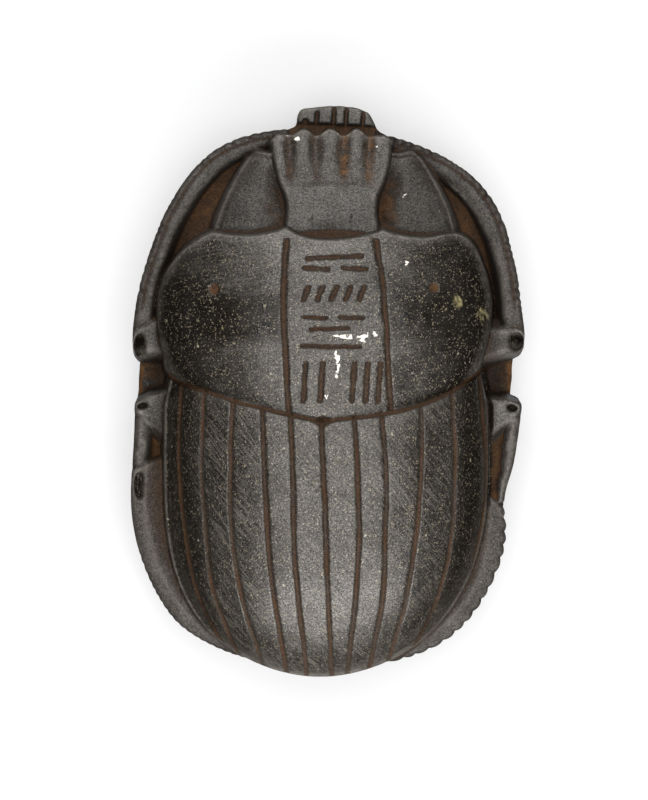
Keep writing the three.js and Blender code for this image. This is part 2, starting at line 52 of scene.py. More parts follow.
FAR = 9.0  # a distance at which a groove isn't felt
SLAB_TOP = 4.7  # where the slab's wall ends and the legs' wall begins
Grid = np.ndarray
Socket = bpy.types.NodeSocket
log = logging.getLogger("scarab")


class Side(Enum):
    """The beetle's two sides, seen from above with the head away."""

    LEFT = -1
    RIGHT = 1


class Stain(Enum):
    """What the surface carries besides bare stone, with the painted highlights and painted shade that some of
    it also holds; each is a vertex attribute of the mesh.
    """

    DIRT = "dirt"
    RUST = "rust"
    PALE = "pale"
    OCHRE = "ochre"
    # wear on edges, which also carries painted highlights along edges that catch the light
    WEAR_AND_HIGHLIGHT = "wear_and_highlight"
    BACK = "back"
    # scratched, flecked stone; where it falls the stone is painted darker, with fewer flecks and scratches,
    # as painted shade on parts turned from the light
    HATCH_AND_SHADE = "hatch_and_shade"


# ------------------------------------------------------------------ small sums
def mix(low: float | Grid, high: float | Grid, share: float | Grid) -> float | Grid:
    """Returns the value at a share of the way from low to high."""
    return low + (high - low) * share


def smooth(low: float, high: float, value: Grid) -> Grid:
    """Returns a smooth step: 0 at and before low, 1 at and past high."""
    t = np.clip((value - low) / (high - low), 0.0, 1.0)
    return t * t * (3.0 - 2.0 * t)


def bell(distance: Grid, width: float) -> Grid:
    """Returns a soft bump of height 1 at distance 0 that dies out past the width."""
    return np.exp(-((distance / width) ** 2))


def slanted(line: tuple, x: Grid) -> Grid:
    """Returns the y at each x of a straight line, given as its y at some x, its slope, and that x."""
    return line[0] + line[1] * (x - line[2])


def cell_value(values: Grid, i: Grid, j: Grid, s: Grid, t: Grid) -> Grid:
    """Returns the value of a map at shares s and t of the way across its cell i, j."""
    near, far = (values[j + k, i] * (1 - s) + values[j + k, i + 1] * s for k in (0, 1))
    return near * (1 - t) + far * t


def through(stations: tuple, values: tuple, at: Grid) -> Grid:
    """Smooth curve through a few values.

    Args:
        stations: rising places at which the values are given.
        values: the value at each station.
        at: places at which the curve is read; past the ends it stays level.

    Returns:
        The curve's value at each place.
    """
    s, v = np.asarray(stations, float), np.asarray(values, float)
    slope = np.gradient(v, s)
    at = np.clip(at, s[0], s[-1])
    k = np.clip(np.searchsorted(s, at, side="right") - 1, 0, len(s) - 2)
    span = s[k + 1] - s[k]
    t = (at - s[k]) / span
    start = (2 * t**3 - 3 * t**2 + 1) * v[k] + (t**3 - 2 * t**2 + t) * span * slope[k]
    return start + (3 * t**2 - 2 * t**3) * v[k + 1] + (t**3 - t**2) * span * slope[k + 1]


def edge_drop(inside: Grid, radius: float, steep: float = 0.0) -> Grid:
    """How far a surface falls at a worn edge.

    Args:
        inside: distance inside the edge, negative outside it.
        radius: radius to which the edge is worn.
        steep: slope of the wall outside the edge.

    Returns:
        0 well inside, the radius at the edge, and more outside it where the wall is steep.
    """
    reach = np.clip(radius - inside, 0.0, radius)
    rounded = radius - np.sqrt(np.maximum(radius**2 - reach**2, 0.0))
    return rounded + np.maximum(-inside, 0.0) * steep


def rounded_outline(corners: tuple, steps: int = 6) -> Grid:
    """A closed smooth line through a few points.

    Args:
        corners: the points in order.
        steps: spans between one point and the next.

    Returns:
        The points of the line.
    """
    p = np.asarray(corners, float)[:, None]
    before, after, later = (np.roll(p, k, 0) for k in (1, -1, -2))
    t = (np.arange(steps) / steps)[None, :, None]
    bend = (2 * before - 5 * p + 4 * after - later) * t**2
    twist = (3 * p - before - 3 * after + later) * t**3
    return (0.5 * (2 * p + (after - before) * t + bend + twist)).reshape(-1, 2)


class Plan:
    """A regular grid of points over the stone, in millimetres."""

    def __init__(self, half_x: float = 29.0, half_y: float = 42.0, step: float = 0.1) -> None:
        """Lays out the grid.

        Args:
            half_x: reach of the grid to each side.
            half_y: reach of the grid forwards and backwards.
            step: distance between points.
        """
        self.step = step
        self.xs = np.arange(-half_x, half_x + step / 2, step)
        self.ys = np.arange(-half_y, half_y + step / 2, step)
        self.x, self.y = np.meshgrid(self.xs, self.ys)

    def read(self, values: Grid, x: Grid, y: Grid) -> Grid:
        """Reads a map of this grid between its points.

        Args:
            values: one value for each point of the grid.
            x: where to read it, across.
            y: where to read it, along.

        Returns:
            The value at each place.
        """
        u = np.clip((x - self.xs[0]) / self.step, 0, len(self.xs) - 1.001)
        v = np.clip((y - self.ys[0]) / self.step, 0, len(self.ys) - 1.001)
        i, j = u.astype(int), v.astype(int)
        return cell_value(values, i, j, u - i, v - j)

    def oval(self, x: float, y: float, wide: float, long: float) -> Grid:
        """Returns the distance from the middle of an oval, which is 1 on its edge."""
        return np.hypot((self.x - x) / wide, (self.y - y) / long)

    def ripple(self, size: float, seed: int, stretch: float = 1.0) -> Grid:
        """Smooth random hills and dips.

        Args:
            size: how wide a hill is across.
            seed: which pattern.
            stretch: how many times longer a hill is along than across.

        Returns:
            Values from -1 to 1 over the grid.
        """
        lattice = np.random.default_rng(seed).uniform(-1, 1, (256, 256))
        u, v = self.x / size + 101.3, self.y / (size * stretch) + 117.7
        i, j = np.floor(u).astype(int), np.floor(v).astype(int)
        s, t = u - i, v - j
        s, t = s * s * (3 - 2 * s), t * t * (3 - 2 * t)
        return cell_value(lattice, i % 255, j % 255, s, t)

    def soften(self, values: Grid, radius: float) -> Grid:
        """Blurs a map.

        Args:
            values: the map.
            radius: how far a point is spread, in millimetres.

        Returns:
            The blurred map.
        """
        reach = max(1, int(round(2.5 * radius / self.step)))
        taps = np.exp(-0.5 * (np.arange(-reach, reach + 1) * self.step / radius) ** 2)
        taps /= taps.sum()
        for axis, count in enumerate(values.shape):
            widths = [(0, 0), (0, 0)]
            widths[axis] = (reach, reach)
            padded = np.pad(values, widths, mode="edge")
            values = sum(tap * np.take(padded, range(k, k + count), axis=axis) for k, tap in enumerate(taps))
        return values

    def depth_inside(self, outline: Grid, coarse: float = 0.4) -> Grid:
        """Distance inside a closed outline.

        Args:
            outline: the outline's points in order.
            coarse: spacing at which the distance is worked out before it is read finely.

        Returns:
            Distance to the outline, positive inside and negative outside.
        """
        rough = Plan(-self.xs[0] + 1.0, -self.ys[0] + 1.0, coarse)
        best = np.full(rough.x.shape, 1e9)
        within = np.zeros(rough.x.shape, bool)
        for (ax, ay), (bx, by) in zip(outline, np.roll(outline, -1, axis=0)):
            ex, ey = bx - ax, by - ay
            t = ((rough.x - ax) * ex + (rough.y - ay) * ey) / max(ex * ex + ey * ey, 1e-9)
            t = np.clip(t, 0, 1)
            best = np.minimum(best, np.hypot(rough.x - ax - t * ex, rough.y - ay - t * ey))
            if ay != by:
                crosses = (ay > rough.y) != (by > rough.y)
                within ^= crosses & (rough.x < ax + (rough.y - ay) * ex / ey)
        return rough.read(np.where(within, best, -best), self.x, self.y)


# ------------------------------------------------------------------ the carving
@dataclass
class Slab:
    """The oval base the beetle lies on, hand cut and not quite even."""

    height: float = 4.6
    edge: float = 0.5
    # half width, y of the widest place, length from there, and power of each end's oval
    head_end: tuple = (26.6, 6.0, 30.85, 2.58)
    tail_end: tuple = (26.5, -12.0, 26.95, 2.45)
    lean_y: tuple = (-40, -28, -15, 0, 12, 23, 30, 36)
    lean_x: tuple = (-1.1, -1.0, -1.4, -0.2, -0.1, 0.35, 0.1, -1.3)

    def middle(self, y: Grid) -> Grid:
        """Returns the middle line's x at each y."""
        return through(self.lean_y, self.lean_x, y)

    def outline(self) -> Grid:
        """Draws the slab's edge.

        Returns:
            The points round it.
        """
        turn = np.linspace(0, np.pi / 2, 60)
        wide, start, length, power = self.head_end
        head = (wide * np.sin(turn) ** (2 / power), start + length * np.cos(turn) ** (2 / power))
        wide, start, length, power = self.tail_end
        tail = (wide * np.cos(turn) ** (2 / power), start - length * np.sin(turn) ** (2 / power))
        x, y = (np.concatenate(both) for both in zip(head, tail))
        right, left = (np.stack([self.middle(y) + way * x, y], 1) for way in (1, -1))
        return np.concatenate([right, left[::-1][1:-1]])

    def carve(self, relief: "Relief") -> None:
        """Lays the slab's top, with brown dirt towards its edge.

        Args:
            relief: the stone.
        """
        edge_stain = 1.0 - smooth(0.5, 1.1, relief.depth + 0.3 * relief.plan.ripple(1.2, 5))
        stains = {Stain.RUST: 0.95 * edge_stain, Stain.DIRT: 0.14 + 0.8 * edge_stain}
        relief.lay(self.height - edge_drop(relief.depth, self.edge), stains)


class Relief:
    """Height of the stone over the plan, and what its surface carries."""

    def __init__(self, plan: Plan, slab: Slab) -> None:
        """Starts below the floor, with nothing carved.

        Args:
            plan: the grid on which it is kept.
            slab: the base whose edge bounds it.
        """
        self.plan = plan
        self.depth = plan.depth_inside(slab.outline())
        self.middle = slab.middle(plan.y)
        self.height = np.full(plan.x.shape, BURIED)
        self.stains = {stain: np.zeros(plan.x.shape) for stain in Stain}

    def lay(self, top: Grid, stains: dict, where: Grid | bool = True) -> Grid:
        """Joins a form to the stone wherever it stands higher.

        Args:
            top: height of the form, already falling away outside its edges.
            stains: what the form's surface carries.
            where: where the form may lie.

        Returns:
            Where the form shows.
        """
        top = np.where(where, top, BURIED)
        shows = top > self.height
        self.height = np.where(shows, top, self.height)
        for stain in Stain:
            self.stains[stain] = np.where(shows, stains.get(stain, 0.0), self.stains[stain])
        return shows

    def cut(self, distance: Grid, half_width: float | Grid, depth: float, fill: float | Grid) -> None:
        """Cuts a groove with sloping sides and leaves dirt in it.

        Args:
            distance: distance from the groove's middle line.
            half_width: half its width at the surface.
            depth: its depth.
            fill: how much dirt is left in it.
        """
        self.height = self.height - depth * (1.0 - smooth(0.45, 1.0, distance / half_width))
        self.stain(Stain.DIRT, fill * (1.0 - smooth(0.8, 1.1, distance / half_width)))

    def stain(self, stain: Stain, amount: Grid) -> None:
        """Adds to what the surface carries, up to a full cover."""
        self.stains[stain] = np.clip(np.maximum(self.stains[stain], amount), 0.0, 1.0)

    def blot(self, stain: Stain, oval: tuple, amount: float) -> None:
        """Puts a soft patch on the surface, on an oval given by its middle and half sizes."""
        self.stain(stain, amount * (1.0 - smooth(0.55, 1.2, self.plan.oval(*oval))))


@dataclass
class Form:
    """A form that is carved on the stone's relief."""

    relief: Relief

    def __post_init__(self) -> None:
        """Keeps at hand the plan's x and y, its ripples, and the distance inside the slab's edge."""
        self.plan = self.relief.plan
        self.ripple = self.plan.ripple
        self.x, self.y, self.depth = self.plan.x, self.plan.y, self.relief.depth

    def uneven(self, mean: float, size: float, seed: int) -> Grid:
        """Returns a patchy strength round the mean that never passes 1."""
        return mean + (1.0 - mean) * self.ripple(size, seed)

    def sink(self, amount: Grid) -> None:
        """Lowers the carved surface."""
        self.relief.height = self.relief.height - amount


@dataclass
class Legs(Form):
    """The folded legs of one side: arm, knee, middle leg and hind leg, all following the slab's edge."""

    side: Side = Side.LEFT
    # how far the outer face overhangs the slab's edge, from the tail to the head
    overhang_y: tuple = (
        *(-38.5, -36, -33, -29, -20, -15, -10, -5, -2),
        *(0.4, 3.6, 5.0, 8.0, 10.5, 15, 20, 25, 31, 35),
    )
    overhang: tuple = (
        *(-0.15, 0.1, 0.5, 0.35, 0.0, -0.1, -0.1, -0.1, 0.0),
        *(0.0, -0.1, 0.5, 0.75, 0.6, 0.35, 0.1, 0.1, 0.2, 0.3),
    )
    # pitch, pattern and depth of the hind leg's scallops, and the y where they begin and are full
    scallops: tuple = (1.1, 22, 0.14, -21.0, -24.0)
    notch_pitch: float = 1.25
    arm_width: tuple = (2.0, 2.2, 2.6, 2.75, 2.7, 2.2, 1.4, 0.4)
    arm_width_y: tuple = (9.5, 15, 20, 25, 31, 34, 35.3, 36.6)
    arm_wear: float = 0.22
    # lines across the legs: y at some distance from the middle, slope outward, and that distance
    knee_upper: tuple = (9.5, -0.41, 25.0)
    knee_lower: tuple = (5.0, -0.05, 25.0)
    knuckle_upper: tuple = (-0.3, -0.38, 24.0)
    knuckle_lower: tuple = (-5.0, 0.7, 24.4)
    hind_start: tuple = (-9.8, -0.42, 25.0)
    hind_height: float = 12.0
    shin_end: float = -9.9
    shin_width: tuple = (2.3, 2.3, 2.3)
    shin_wear_and_reflection: float = 0.3
    # ovals, by their middle and half sizes; a facet has its drop too
    knuckle_pit: tuple = (-26.1, -1.95, 0.9, 0.52)
    pit_depth: float = 1.7
    facets: tuple = ((-26.3, 6.4, 0.9, 1.7, 4.2), (-26.4, -13.1, 0.75, 2.0, 1.7))

    @staticmethod
    def right(relief: Relief) -> "Legs":
        """Gives the right side its own sizes: its shin is longer and stands further out.

        Args:
            relief: the stone.

        Returns:
            The legs of the right side.
        """
        return Legs(
            relief,
            Side.RIGHT,
            overhang=(
                *(0.3, 0.75, 0.75, 0.55, 0.6, -0.1, 0.8, 1.2, 1.3),
                *(0.7, 0.6, 0.9, 1.2, 1.0, 0.7, 0.4, 0.6, 0.5, 0.2),
            ),
            scallops=(2.0, 21, 0.36, -15.5, -17.0),
            arm_wear=0.0,
            knee_upper=(8.75, -0.05, 25.0),
            knee_lower=(3.95, 0.31, 21.5),
            knuckle_upper=(-1.1, -0.15, 24.0),
            hind_start=(-15.4, -0.9, 23.6),
            hind_height=10.8,
            shin_end=-15.0,
            shin_width=(1.15, 1.65, 1.9),
            shin_wear_and_reflection=0.55,
            knuckle_pit=(25.85, -2.25, 0.85, 0.55),
            facets=((26.35, 6.95, 1.15, 1.35, 4.2),),
        )

    def __post_init__(self) -> None:
        """Works out this side's ground, and how far each place lies inside the legs' outer face."""
        super().__post_init__()
        self.out = self.side.value * self.x
        self.own = self.side.value * (self.x - self.relief.middle) > 0
        self.notches = self.notched()
        self.reach = through(self.overhang_y, self.overhang, self.y) - 0.17 * self.notches - self.scalloped()
        self.outer = self.depth + self.reach

    def notched(self) -> Grid:
        """Spaces the small notches along the arm's outer edge.

        Returns:
            1 in each notch and 0 between notches.
        """
        along = np.arctan2(self.x, self.y - 8.0) * 30.0
        wave = np.abs(np.sin(np.pi * along / self.notch_pitch + 2.4 * self.ripple(3.0, 31)))
        uneven = np.clip(0.55 + 0.6 * self.ripple(1.7, 32), 0.0, 1.0)
        return (1.0 - wave**0.8) * uneven * smooth(9.5, 13.0, self.y)

    def scalloped(self) -> Grid:
        """Spaces the scallops along the hind leg's outer face.

        Returns:
            How far the face is drawn in between them.
        """
        pitch, seed, bite, begin, full = self.scallops
        along = 27.0 * np.arctan2(-12.0 - self.y, self.out)
        lobes = np.abs(np.sin(np.pi * along / pitch + 0.9 * self.ripple(4.0, seed)))
        return bite * smooth(begin, full, self.y) * (1.0 - lobes**0.7)

    def lay(self, top: Grid, stains: dict, where: Grid) -> None:
        """Joins one form of this side's legs."""
        self.relief.lay(top, stains, self.own & where)

    def carve(self) -> None:
        """Carves the legs, from the hind leg to the knee that lies over the arm."""
        self.carve_hind()
        if self.side is Side.LEFT:
            self.cut_facet(*self.facets[1])
        self.carve_shin()
        self.carve_knuckle()
        self.carve_arm()
        self.carve_knee()
        self.cut_facet(*self.facets[0])

    def carve_arm(self) -> None:
        """The long band from the knee to the head, notched along its outer edge."""
        y, outer = self.y, self.outer
        width = through(self.arm_width_y, self.arm_width, y)
        top = mix(11.8, 8.8, smooth(10, 36, y)) - 0.5 * (2 * np.clip(outer / 3.0, 0, 1) - 0.9) ** 2
        top = top - edge_drop(outer, 0.8) - edge_drop(width - self.depth, 0.45, 7.0)
        knee_line = slanted(self.knee_upper, self.out) - 0.15
        top = top - edge_drop(y - knee_line, 0.5, 1.2)
        strip = (1.0 - smooth(0.5, 1.1, outer)) * smooth(8.5, 14.0, y)
        line = bell(outer - 1.05 - 0.12 * self.ripple(1.4, 34), 0.2) * smooth(10.5, 13.0, y)
        top = top - 0.65 * strip * self.notches - 0.32 * line * self.uneven(0.7, 4.0, 33)
        # painted shade, laid as brown dirt: the arm is darker just past the knee line near its outer edge
        shade = 0.7 * (1.0 - smooth(0.1, 1.5, y - knee_line)) * smooth(3.2, 1.6, outer)
        grime = np.maximum(0.5 * self.notches * strip + 0.7 * line + 0.16, shade)
        beside_head = (np.abs(self.x - 0.6) > 6.2) | (y < 36.0)
        self.lay(
            top,
            {Stain.DIRT: grime, Stain.WEAR_AND_HIGHLIGHT: self.arm_wear * self.uneven(0.7, 1.5, 46)},
            (outer > -0.5) & beside_head & (y >= knee_line - 1.2),
        )

    def carve_knee(self) -> None:
        """The block at the end of the arm, rounded below."""
        y, depth = self.y, self.depth
        upper, lower = slanted(self.knee_upper, self.out), slanted(self.knee_lower, self.out)
        top = 12.5 + 0.22 * (depth - 2.0) + 0.1 * self.ripple(1.6, 35) - edge_drop(self.outer, 1.1)
        top = top - edge_drop(upper - y, 0.4, 3.0) - edge_drop(y - lower, 1.3, 7.0)
        # painted highlight as well as wear: the knee's upper and lower crests are laid pale, and the rounding
        # below it paler still
        crest = bell(upper - y - 0.35, 0.4) + bell(y - lower - 0.75, 0.5)
        stains = {
            Stain.DIRT: 0.5 * smooth(1.8, 3.4, depth + 0.4 * self.ripple(1.2, 36)),
            Stain.WEAR_AND_HIGHLIGHT: np.clip(0.7 * crest, 0, 1) * self.uneven(0.7, 1.0, 37),
            Stain.PALE: 0.5 * bell(y - lower - 0.4, 0.3) * self.uneven(0.7, 0.8, 40),
        }
        self.lay(top, stains, (depth < 6.0) & (self.outer > -0.8))

    def cut_facet(self, x: float, y: float, wide: float, long: float, drop: float) -> None:
        """An oval polished facet that falls away outward.

        Args:
            x: its middle, across.
            y: its middle, along.
            wide: its half width.
            long: its half length.
            drop: how far its outer edge lies below its inner edge.
        """
        within = 1.0 - smooth(0.78, 1.05, self.plan.oval(x, y, wide, long))
        self.sink(drop * within * np.clip(0.5 + 0.5 * self.side.value * (self.x - x) / wide, 0.0, 1.0))
        self.relief.stain(Stain.BACK, within)

    def carve_knuckle(self) -> None:
        """The middle leg's knee, with a small deep pit at its outer corner."""
        y, depth = self.y, self.depth
        upper = slanted(self.knuckle_upper, self.out) + 0.25 * bell(self.out - 25.2, 0.8)
        lower = slanted(self.knuckle_lower, self.out)
        top = 12.4 + 0.12 * (depth - 1.5) - 0.22 * (-1.0 - y) + 0.12 * self.ripple(1.4, 38)
        top = top - edge_drop(self.outer, 1.0)
        top = top - edge_drop(upper - y, 0.7, 7.0) - edge_drop(y - lower, 0.7, 1.2)
        # painted highlight as well as wear on the knuckle's upper and lower crests
        crest = bell(upper - y - 0.3, 0.3) + 0.7 * bell(y - lower - 0.2, 0.3)
        stains = {
            Stain.DIRT: 0.35 * smooth(2.0, 4.0, depth),
            Stain.WEAR_AND_HIGHLIGHT: np.clip(0.75 * crest, 0, 1) * self.uneven(0.7, 1.0, 39),
        }
        self.lay(top, stains, (depth < 6.0) & (y > lower - 2.0) & (self.outer > -0.8))
        px, py, wide, long = self.knuckle_pit
        turned = (y - py) + 0.25 * self.side.value * (self.x - px)
        hole = np.hypot((self.x - px) / wide, turned / long)
        self.sink(self.pit_depth * (1.0 - smooth(0.35, 1.1, hole)))
        # painted highlight: a pale spot just below the pit
        self.relief.blot(Stain.WEAR_AND_HIGHLIGHT, (px, py - 0.95, 0.5, 0.3), 0.8)

    def carve_shin(self) -> None:
        """The middle leg's shin and the brown hollow between it and the body."""
        y, depth, outer, end = self.y, self.depth, self.outer, self.shin_end
        hollow = 8.4 + 0.35 * np.abs(depth - 3.4) + 0.2 * self.ripple(1.4, 41)
        self.lay(
            hollow,
            {Stain.RUST: 0.4 + 0.5 * self.ripple(1.0, 42), Stain.DIRT: 0.95},
            (y < -3.0) & (y > end - 1.5) & (depth < 6.5) & (outer > 0.6),
        )
        top = mix(11.4, 10.2, smooth(-5, -15, y)) - 0.35 * (outer - 0.8) ** 2 / 2.0
        top = top - edge_drop(outer, 1.0) + 0.26 * self.ripple(1.3, 43)
        inner = through((-15, -10, -5), self.shin_width, y) - (outer if self.side is Side.RIGHT else depth)
        top = top - edge_drop(inner + 0.2 * self.ripple(1.1, 45), 0.7, 3.0)
        # the shin is laid pale: wear and a painted reflection, stronger on the right
        self.lay(
            top,
            {Stain.WEAR_AND_HIGHLIGHT: self.shin_wear_and_reflection * self.uneven(0.7, 0.9, 44), Stain.DIRT: 0.12},
            (y < -3.5) & (y > end - 0.6) & (outer > -0.8),
        )

    def carve_hind(self) -> None:
        """The hind leg, a smooth band with a low ridge that runs out at the tail."""
        y, depth, outer = self.y, self.depth, self.outer
        start = slanted(self.hind_start, self.out)
        ridge = through((-38, -30, -20, -10), (0.9, 1.5, 2.1, 2.3), y)
        top = mix(self.hind_height, 7.0, smooth(-8, -40, y)) - 0.28 * np.maximum(depth - ridge, 0.0)
        top = top - 0.16 * np.maximum(ridge - depth, 0.0) - edge_drop(outer, 0.8)
        top = top - edge_drop(start - y, 0.7, 7.0) + 0.1 * self.ripple(2.2, 52, 2.0)
        grime = smooth(1.6, 4.2, depth + 0.6 * self.ripple(3.0, 51, 3.0))
        # painted highlight as well as wear along the leg's upper end and its ridge
        crest = bell(start - y - 0.45, 0.4) * smooth(4.0, 2.5, depth)
        stains = {
            Stain.DIRT: 0.22 + 0.5 * grime,
            Stain.RUST: 0.12 * grime,
            Stain.WEAR_AND_HIGHLIGHT: np.clip(0.75 * crest + 0.35 * bell(depth - ridge, 0.35), 0, 1),
        }
        self.lay(top, stains, (y < start + 1.5) & (outer > -0.8) & (depth < 9.0))


@dataclass
class Head(Form):
    """The channel, the eye lobes, the fluted plate and the toothed front."""

    floor_high: float = 8.3
    lobe_middle: float = 0.9
    lobe_rear_y: float = 21.0
    lobe_front_y: float = 33.6
    lobe_outer: float = 17.0
    lobe_narrowing: float = 5.4
    knob: tuple = (7.35, 24.4)
    plate_middle: float = 0.5
    plate_rear_top: float = 19.6
    plate_front_top: float = 12.6
    plate_rear_y: float = 22.0
    plate_front_y: float = 36.45
    plate_half_y: tuple = (22.5, 24.9, 26.7, 29.0, 32.1, 35.2)
    plate_half: tuple = (6.45, 6.15, 6.35, 7.25, 8.05, 8.4)
    flutes: tuple = (-5.35, -1.7, 2.2, 5.75)
    flute_widths: tuple = (0.62, 0.75, 0.75, 0.62)
    scallop_pitch: float = 3.72
    teeth_top: float = 7.7
    teeth_cuts: tuple = (-1.55, 0.85, 2.6, 5.0)
    corner_nick: tuple = (-3.2, 38.15, 0.55, 0.4)
    block_corners: tuple = (
        *((-9.5, 34.5), (-5.9, 36.9), (-4.6, 37.6), (-4.3, 39.0), (-3.7, 39.85), (-2.3, 40.08)),
        *((0.6, 40.35), (3.2, 40.2), (4.8, 39.8), (5.8, 39.3), (6.5, 38.1), (7.2, 36.8)),
        *((9.2, 35.0), (5.0, 32.0), (-5.0, 32.0)),
    )

    def __post_init__(self) -> None:
        """Works out the distance inside the toothed block's outline."""
        super().__post_init__()
        self.block = self.plan.depth_inside(rounded_outline(self.block_corners), 0.25)

    def carve(self) -> None:
        """Carves the head from its floor up."""
        self.carve_floor()
        self.carve_teeth()
        for side in Side:
            self.carve_lobe(side)
        self.carve_plate()

    def carve_floor(self) -> None:
        """The brown channel between the arms and the head, deepest at the arms' foot."""
        floor = 6.3 + 0.33 * np.clip(self.depth - 2.4, 0, 6) + 0.1 * self.ripple(1.5, 61)
        stains = {Stain.DIRT: 0.95, Stain.RUST: 0.12 + 0.5 * self.ripple(1.1, 62)}
        self.relief.lay(np.minimum(floor, self.floor_high), stains, (self.y > 7.0) & (self.depth > 1.2))

    def carve_teeth(self) -> None:
        """The squared front, cut into five teeth with a ledge behind them."""
        x, y = self.x, self.y
        ledge = smooth(37.75 - 0.05 * x, 37.45 - 0.05 * x, y)
        top = self.teeth_top - 0.75 * ledge - 0.08 * (y - 38.0)
        cuts = np.zeros(x.shape)
        for k, tooth_x in enumerate(self.teeth_cuts):
            line = tooth_x + 0.08 * (y - 39.0) + 0.03 * self.ripple(0.8, 70 + k)
            near = 1.0 - smooth(0.12, 0.3, np.abs(x - line))
            cuts = np.maximum(cuts, near * (smooth(39.9, 39.2, y) if k == 0 else 1.0))
        cuts = cuts * (1.0 - ledge)
        rear = bell(y - (37.6 - 0.05 * x), 0.22)
        nick = 1.0 - smooth(0.3, 1.0, self.plan.oval(*self.corner_nick))
        top = top - 0.65 * np.maximum(cuts, nick) - 0.3 * rear * (1.0 - cuts)
        top = top - 0.35 * smooth(5.1, 5.3, x) * (1.0 - ledge) - edge_drop(self.block, 0.65)
        # painted highlight as well as wear along the teeth's front edge
        stains = {
            Stain.DIRT: np.clip(np.maximum(np.maximum(cuts, nick), 0.85 * ledge) + 0.6 * rear, 0, 1),
            Stain.RUST: 0.35 * ledge * self.uneven(0.5, 0.9, 75),
            Stain.WEAR_AND_HIGHLIGHT: 0.6 * (1.0 - smooth(0.3, 0.9, self.block)) * (y > 38.5),
        }
        self.relief.lay(top, stains, self.block > -0.6)

    def carve_lobe(self, side: Side) -> None:
        """One eye lobe, leaf shaped, with a narrow lip along its outer edge.

        Args:
            side: which lobe.
        """
        y = self.y
        x = side.value * (self.x - self.lobe_middle)
        along = np.clip((y - self.lobe_rear_y) / (self.lobe_front_y - self.lobe_rear_y), 0, 1)
        outer = self.lobe_outer - self.lobe_narrowing * along**1.6
        inner = mix(5.2, 8.2, along)
        front = self.lobe_front_y - 0.35 * bell(x - 8.9, 1.2) - 0.9 * smooth(10.9, 12.3, x)
        inside = np.minimum((outer - x) * 0.93, front - y)
        share = np.clip((x - inner) / (outer - inner), 0, 1)
        top = mix(16.3, 12.4, along) + 0.5 * np.sin(np.pi * share) - 1.0 * share**2
        top = top - 1.1 * (1.0 - smooth(-0.1, 0.42, share)) * smooth(1.0, 0.5, along)
        lip = bell(inside - 0.2, 0.17)
        furrow = bell(inside - 0.62, 0.17) * (1.0 if side is Side.RIGHT else 0.6)
        top = top + 0.1 * lip - 0.3 * furrow + 0.07 * self.ripple(2.0, 81) + 0.03 * self.ripple(0.8, 85)
        gully = 1.0 - smooth(0.02, 0.42, share + 0.12 * self.ripple(1.3, 82))
        # painted highlight as well as wear along the lobe's lip
        stains = {
            Stain.DIRT: np.clip(0.8 * gully * smooth(1.0, 0.5, along) + 0.6 * furrow + 0.12, 0, 1),
            Stain.RUST: 0.6 * gully * self.uneven(0.5, 0.8, 83) * smooth(0.75, 0.2, along),
            Stain.WEAR_AND_HIGHLIGHT: 0.7 * lip * self.uneven(0.55, 1.4, 84),
        }
        self.relief.lay(top - edge_drop(inside, 0.3, 7.0), stains, (x > 2.0) & (y > 18.0))
        knob = self.plan.oval(self.lobe_middle + side.value * self.knob[0], self.knob[1], 1.0, 1.0)
        self.sink(-0.5 * (1.0 - smooth(0.2, 1.0, knob)))

    def carve_plate(self) -> None:
        """The head plate, with four flutes running to its scalloped front edge."""
        plan_x, y = self.x, self.y
        x = plan_x - self.plate_middle
        half = through(self.plate_half_y, self.plate_half, y)
        wave = np.cos(2 * np.pi * (plan_x - 0.35) / self.scallop_pitch)
        toothed = smooth(-5.4, -4.4, plan_x) * smooth(6.2, 5.4, plan_x)
        front = self.plate_front_y - 0.55 + (0.45 * wave + 0.3) * toothed - 0.25 * smooth(3.5, 6.5, plan_x)
        front = front - 0.7 * smooth(7.6, 8.4, np.abs(x))
        inside = np.minimum(half - np.abs(x), front - y)
        slope = np.clip((y - self.plate_rear_y) / (self.plate_front_y - self.plate_rear_y), 0, 1.1)
        top = mix(self.plate_rear_top, self.plate_front_top, slope) - 0.006 * x**2
        flute = np.zeros(x.shape)
        for k, (at, width) in enumerate(zip(self.flutes, self.flute_widths)):
            line = at + 0.05 * (y - 33.0) * (at / 6.0) + 0.08 * self.ripple(1.5, 90 + k, 2.0)
            flute = np.maximum(flute, bell(plan_x - line, width))
        crease = bell(y - (28.7 - 0.012 * x**2), 0.28) * smooth(6.0, 3.0, np.abs(x))
        tablet = smooth(-2.3, -2.1, plan_x) * smooth(3.3, 3.0, plan_x) * smooth(24.5, 24.3, y)
        top = top - 0.65 * flute * smooth(28.3, 34.5, y) - 0.08 * crease + 0.14 * tablet
        streak = flute * smooth(27.8, 30.0, y) * (0.62 + 0.45 * self.ripple(0.5, 95, 6.0))
        collar = smooth(22.6 - 0.02 * x**2, 22.0 - 0.02 * x**2, y)
        # painted highlight as well as wear: the scalloped front edge is laid pale
        stains = {
            Stain.DIRT: np.clip(0.75 * streak + 0.9 * collar + 0.25 * crease, 0, 1),
            Stain.RUST: np.clip(0.7 * streak * (plan_x > -0.5) + 0.35 * streak, 0, 1),
            Stain.WEAR_AND_HIGHLIGHT: bell(front - y - 0.25, 0.2),
            Stain.PALE: 0.58 * bell(front - y - 0.2, 0.12),
        }
        self.relief.lay(top - edge_drop(inside, 0.28, 9.0), stains, y > 19.5)


def dome(share: Grid, power: float, roundness: float = 0.93) -> Grid:
    """Rise of a dome from its rim to its crest.

    Args:
        share: distance from the crest, 1 at the rim.
        power: a higher power is flatter on top and steeper at the rim.
        roundness: how near the rim comes to the upright.

    Returns:
        1 at the crest and 0 at the rim.
    """
    level = math.sqrt(1 - roundness**power)
    reach = (np.clip(share, 0, 1.06) * roundness) ** power
    return (np.sqrt(np.maximum(1 - reach, 0.0)) - level) / (1 - level)


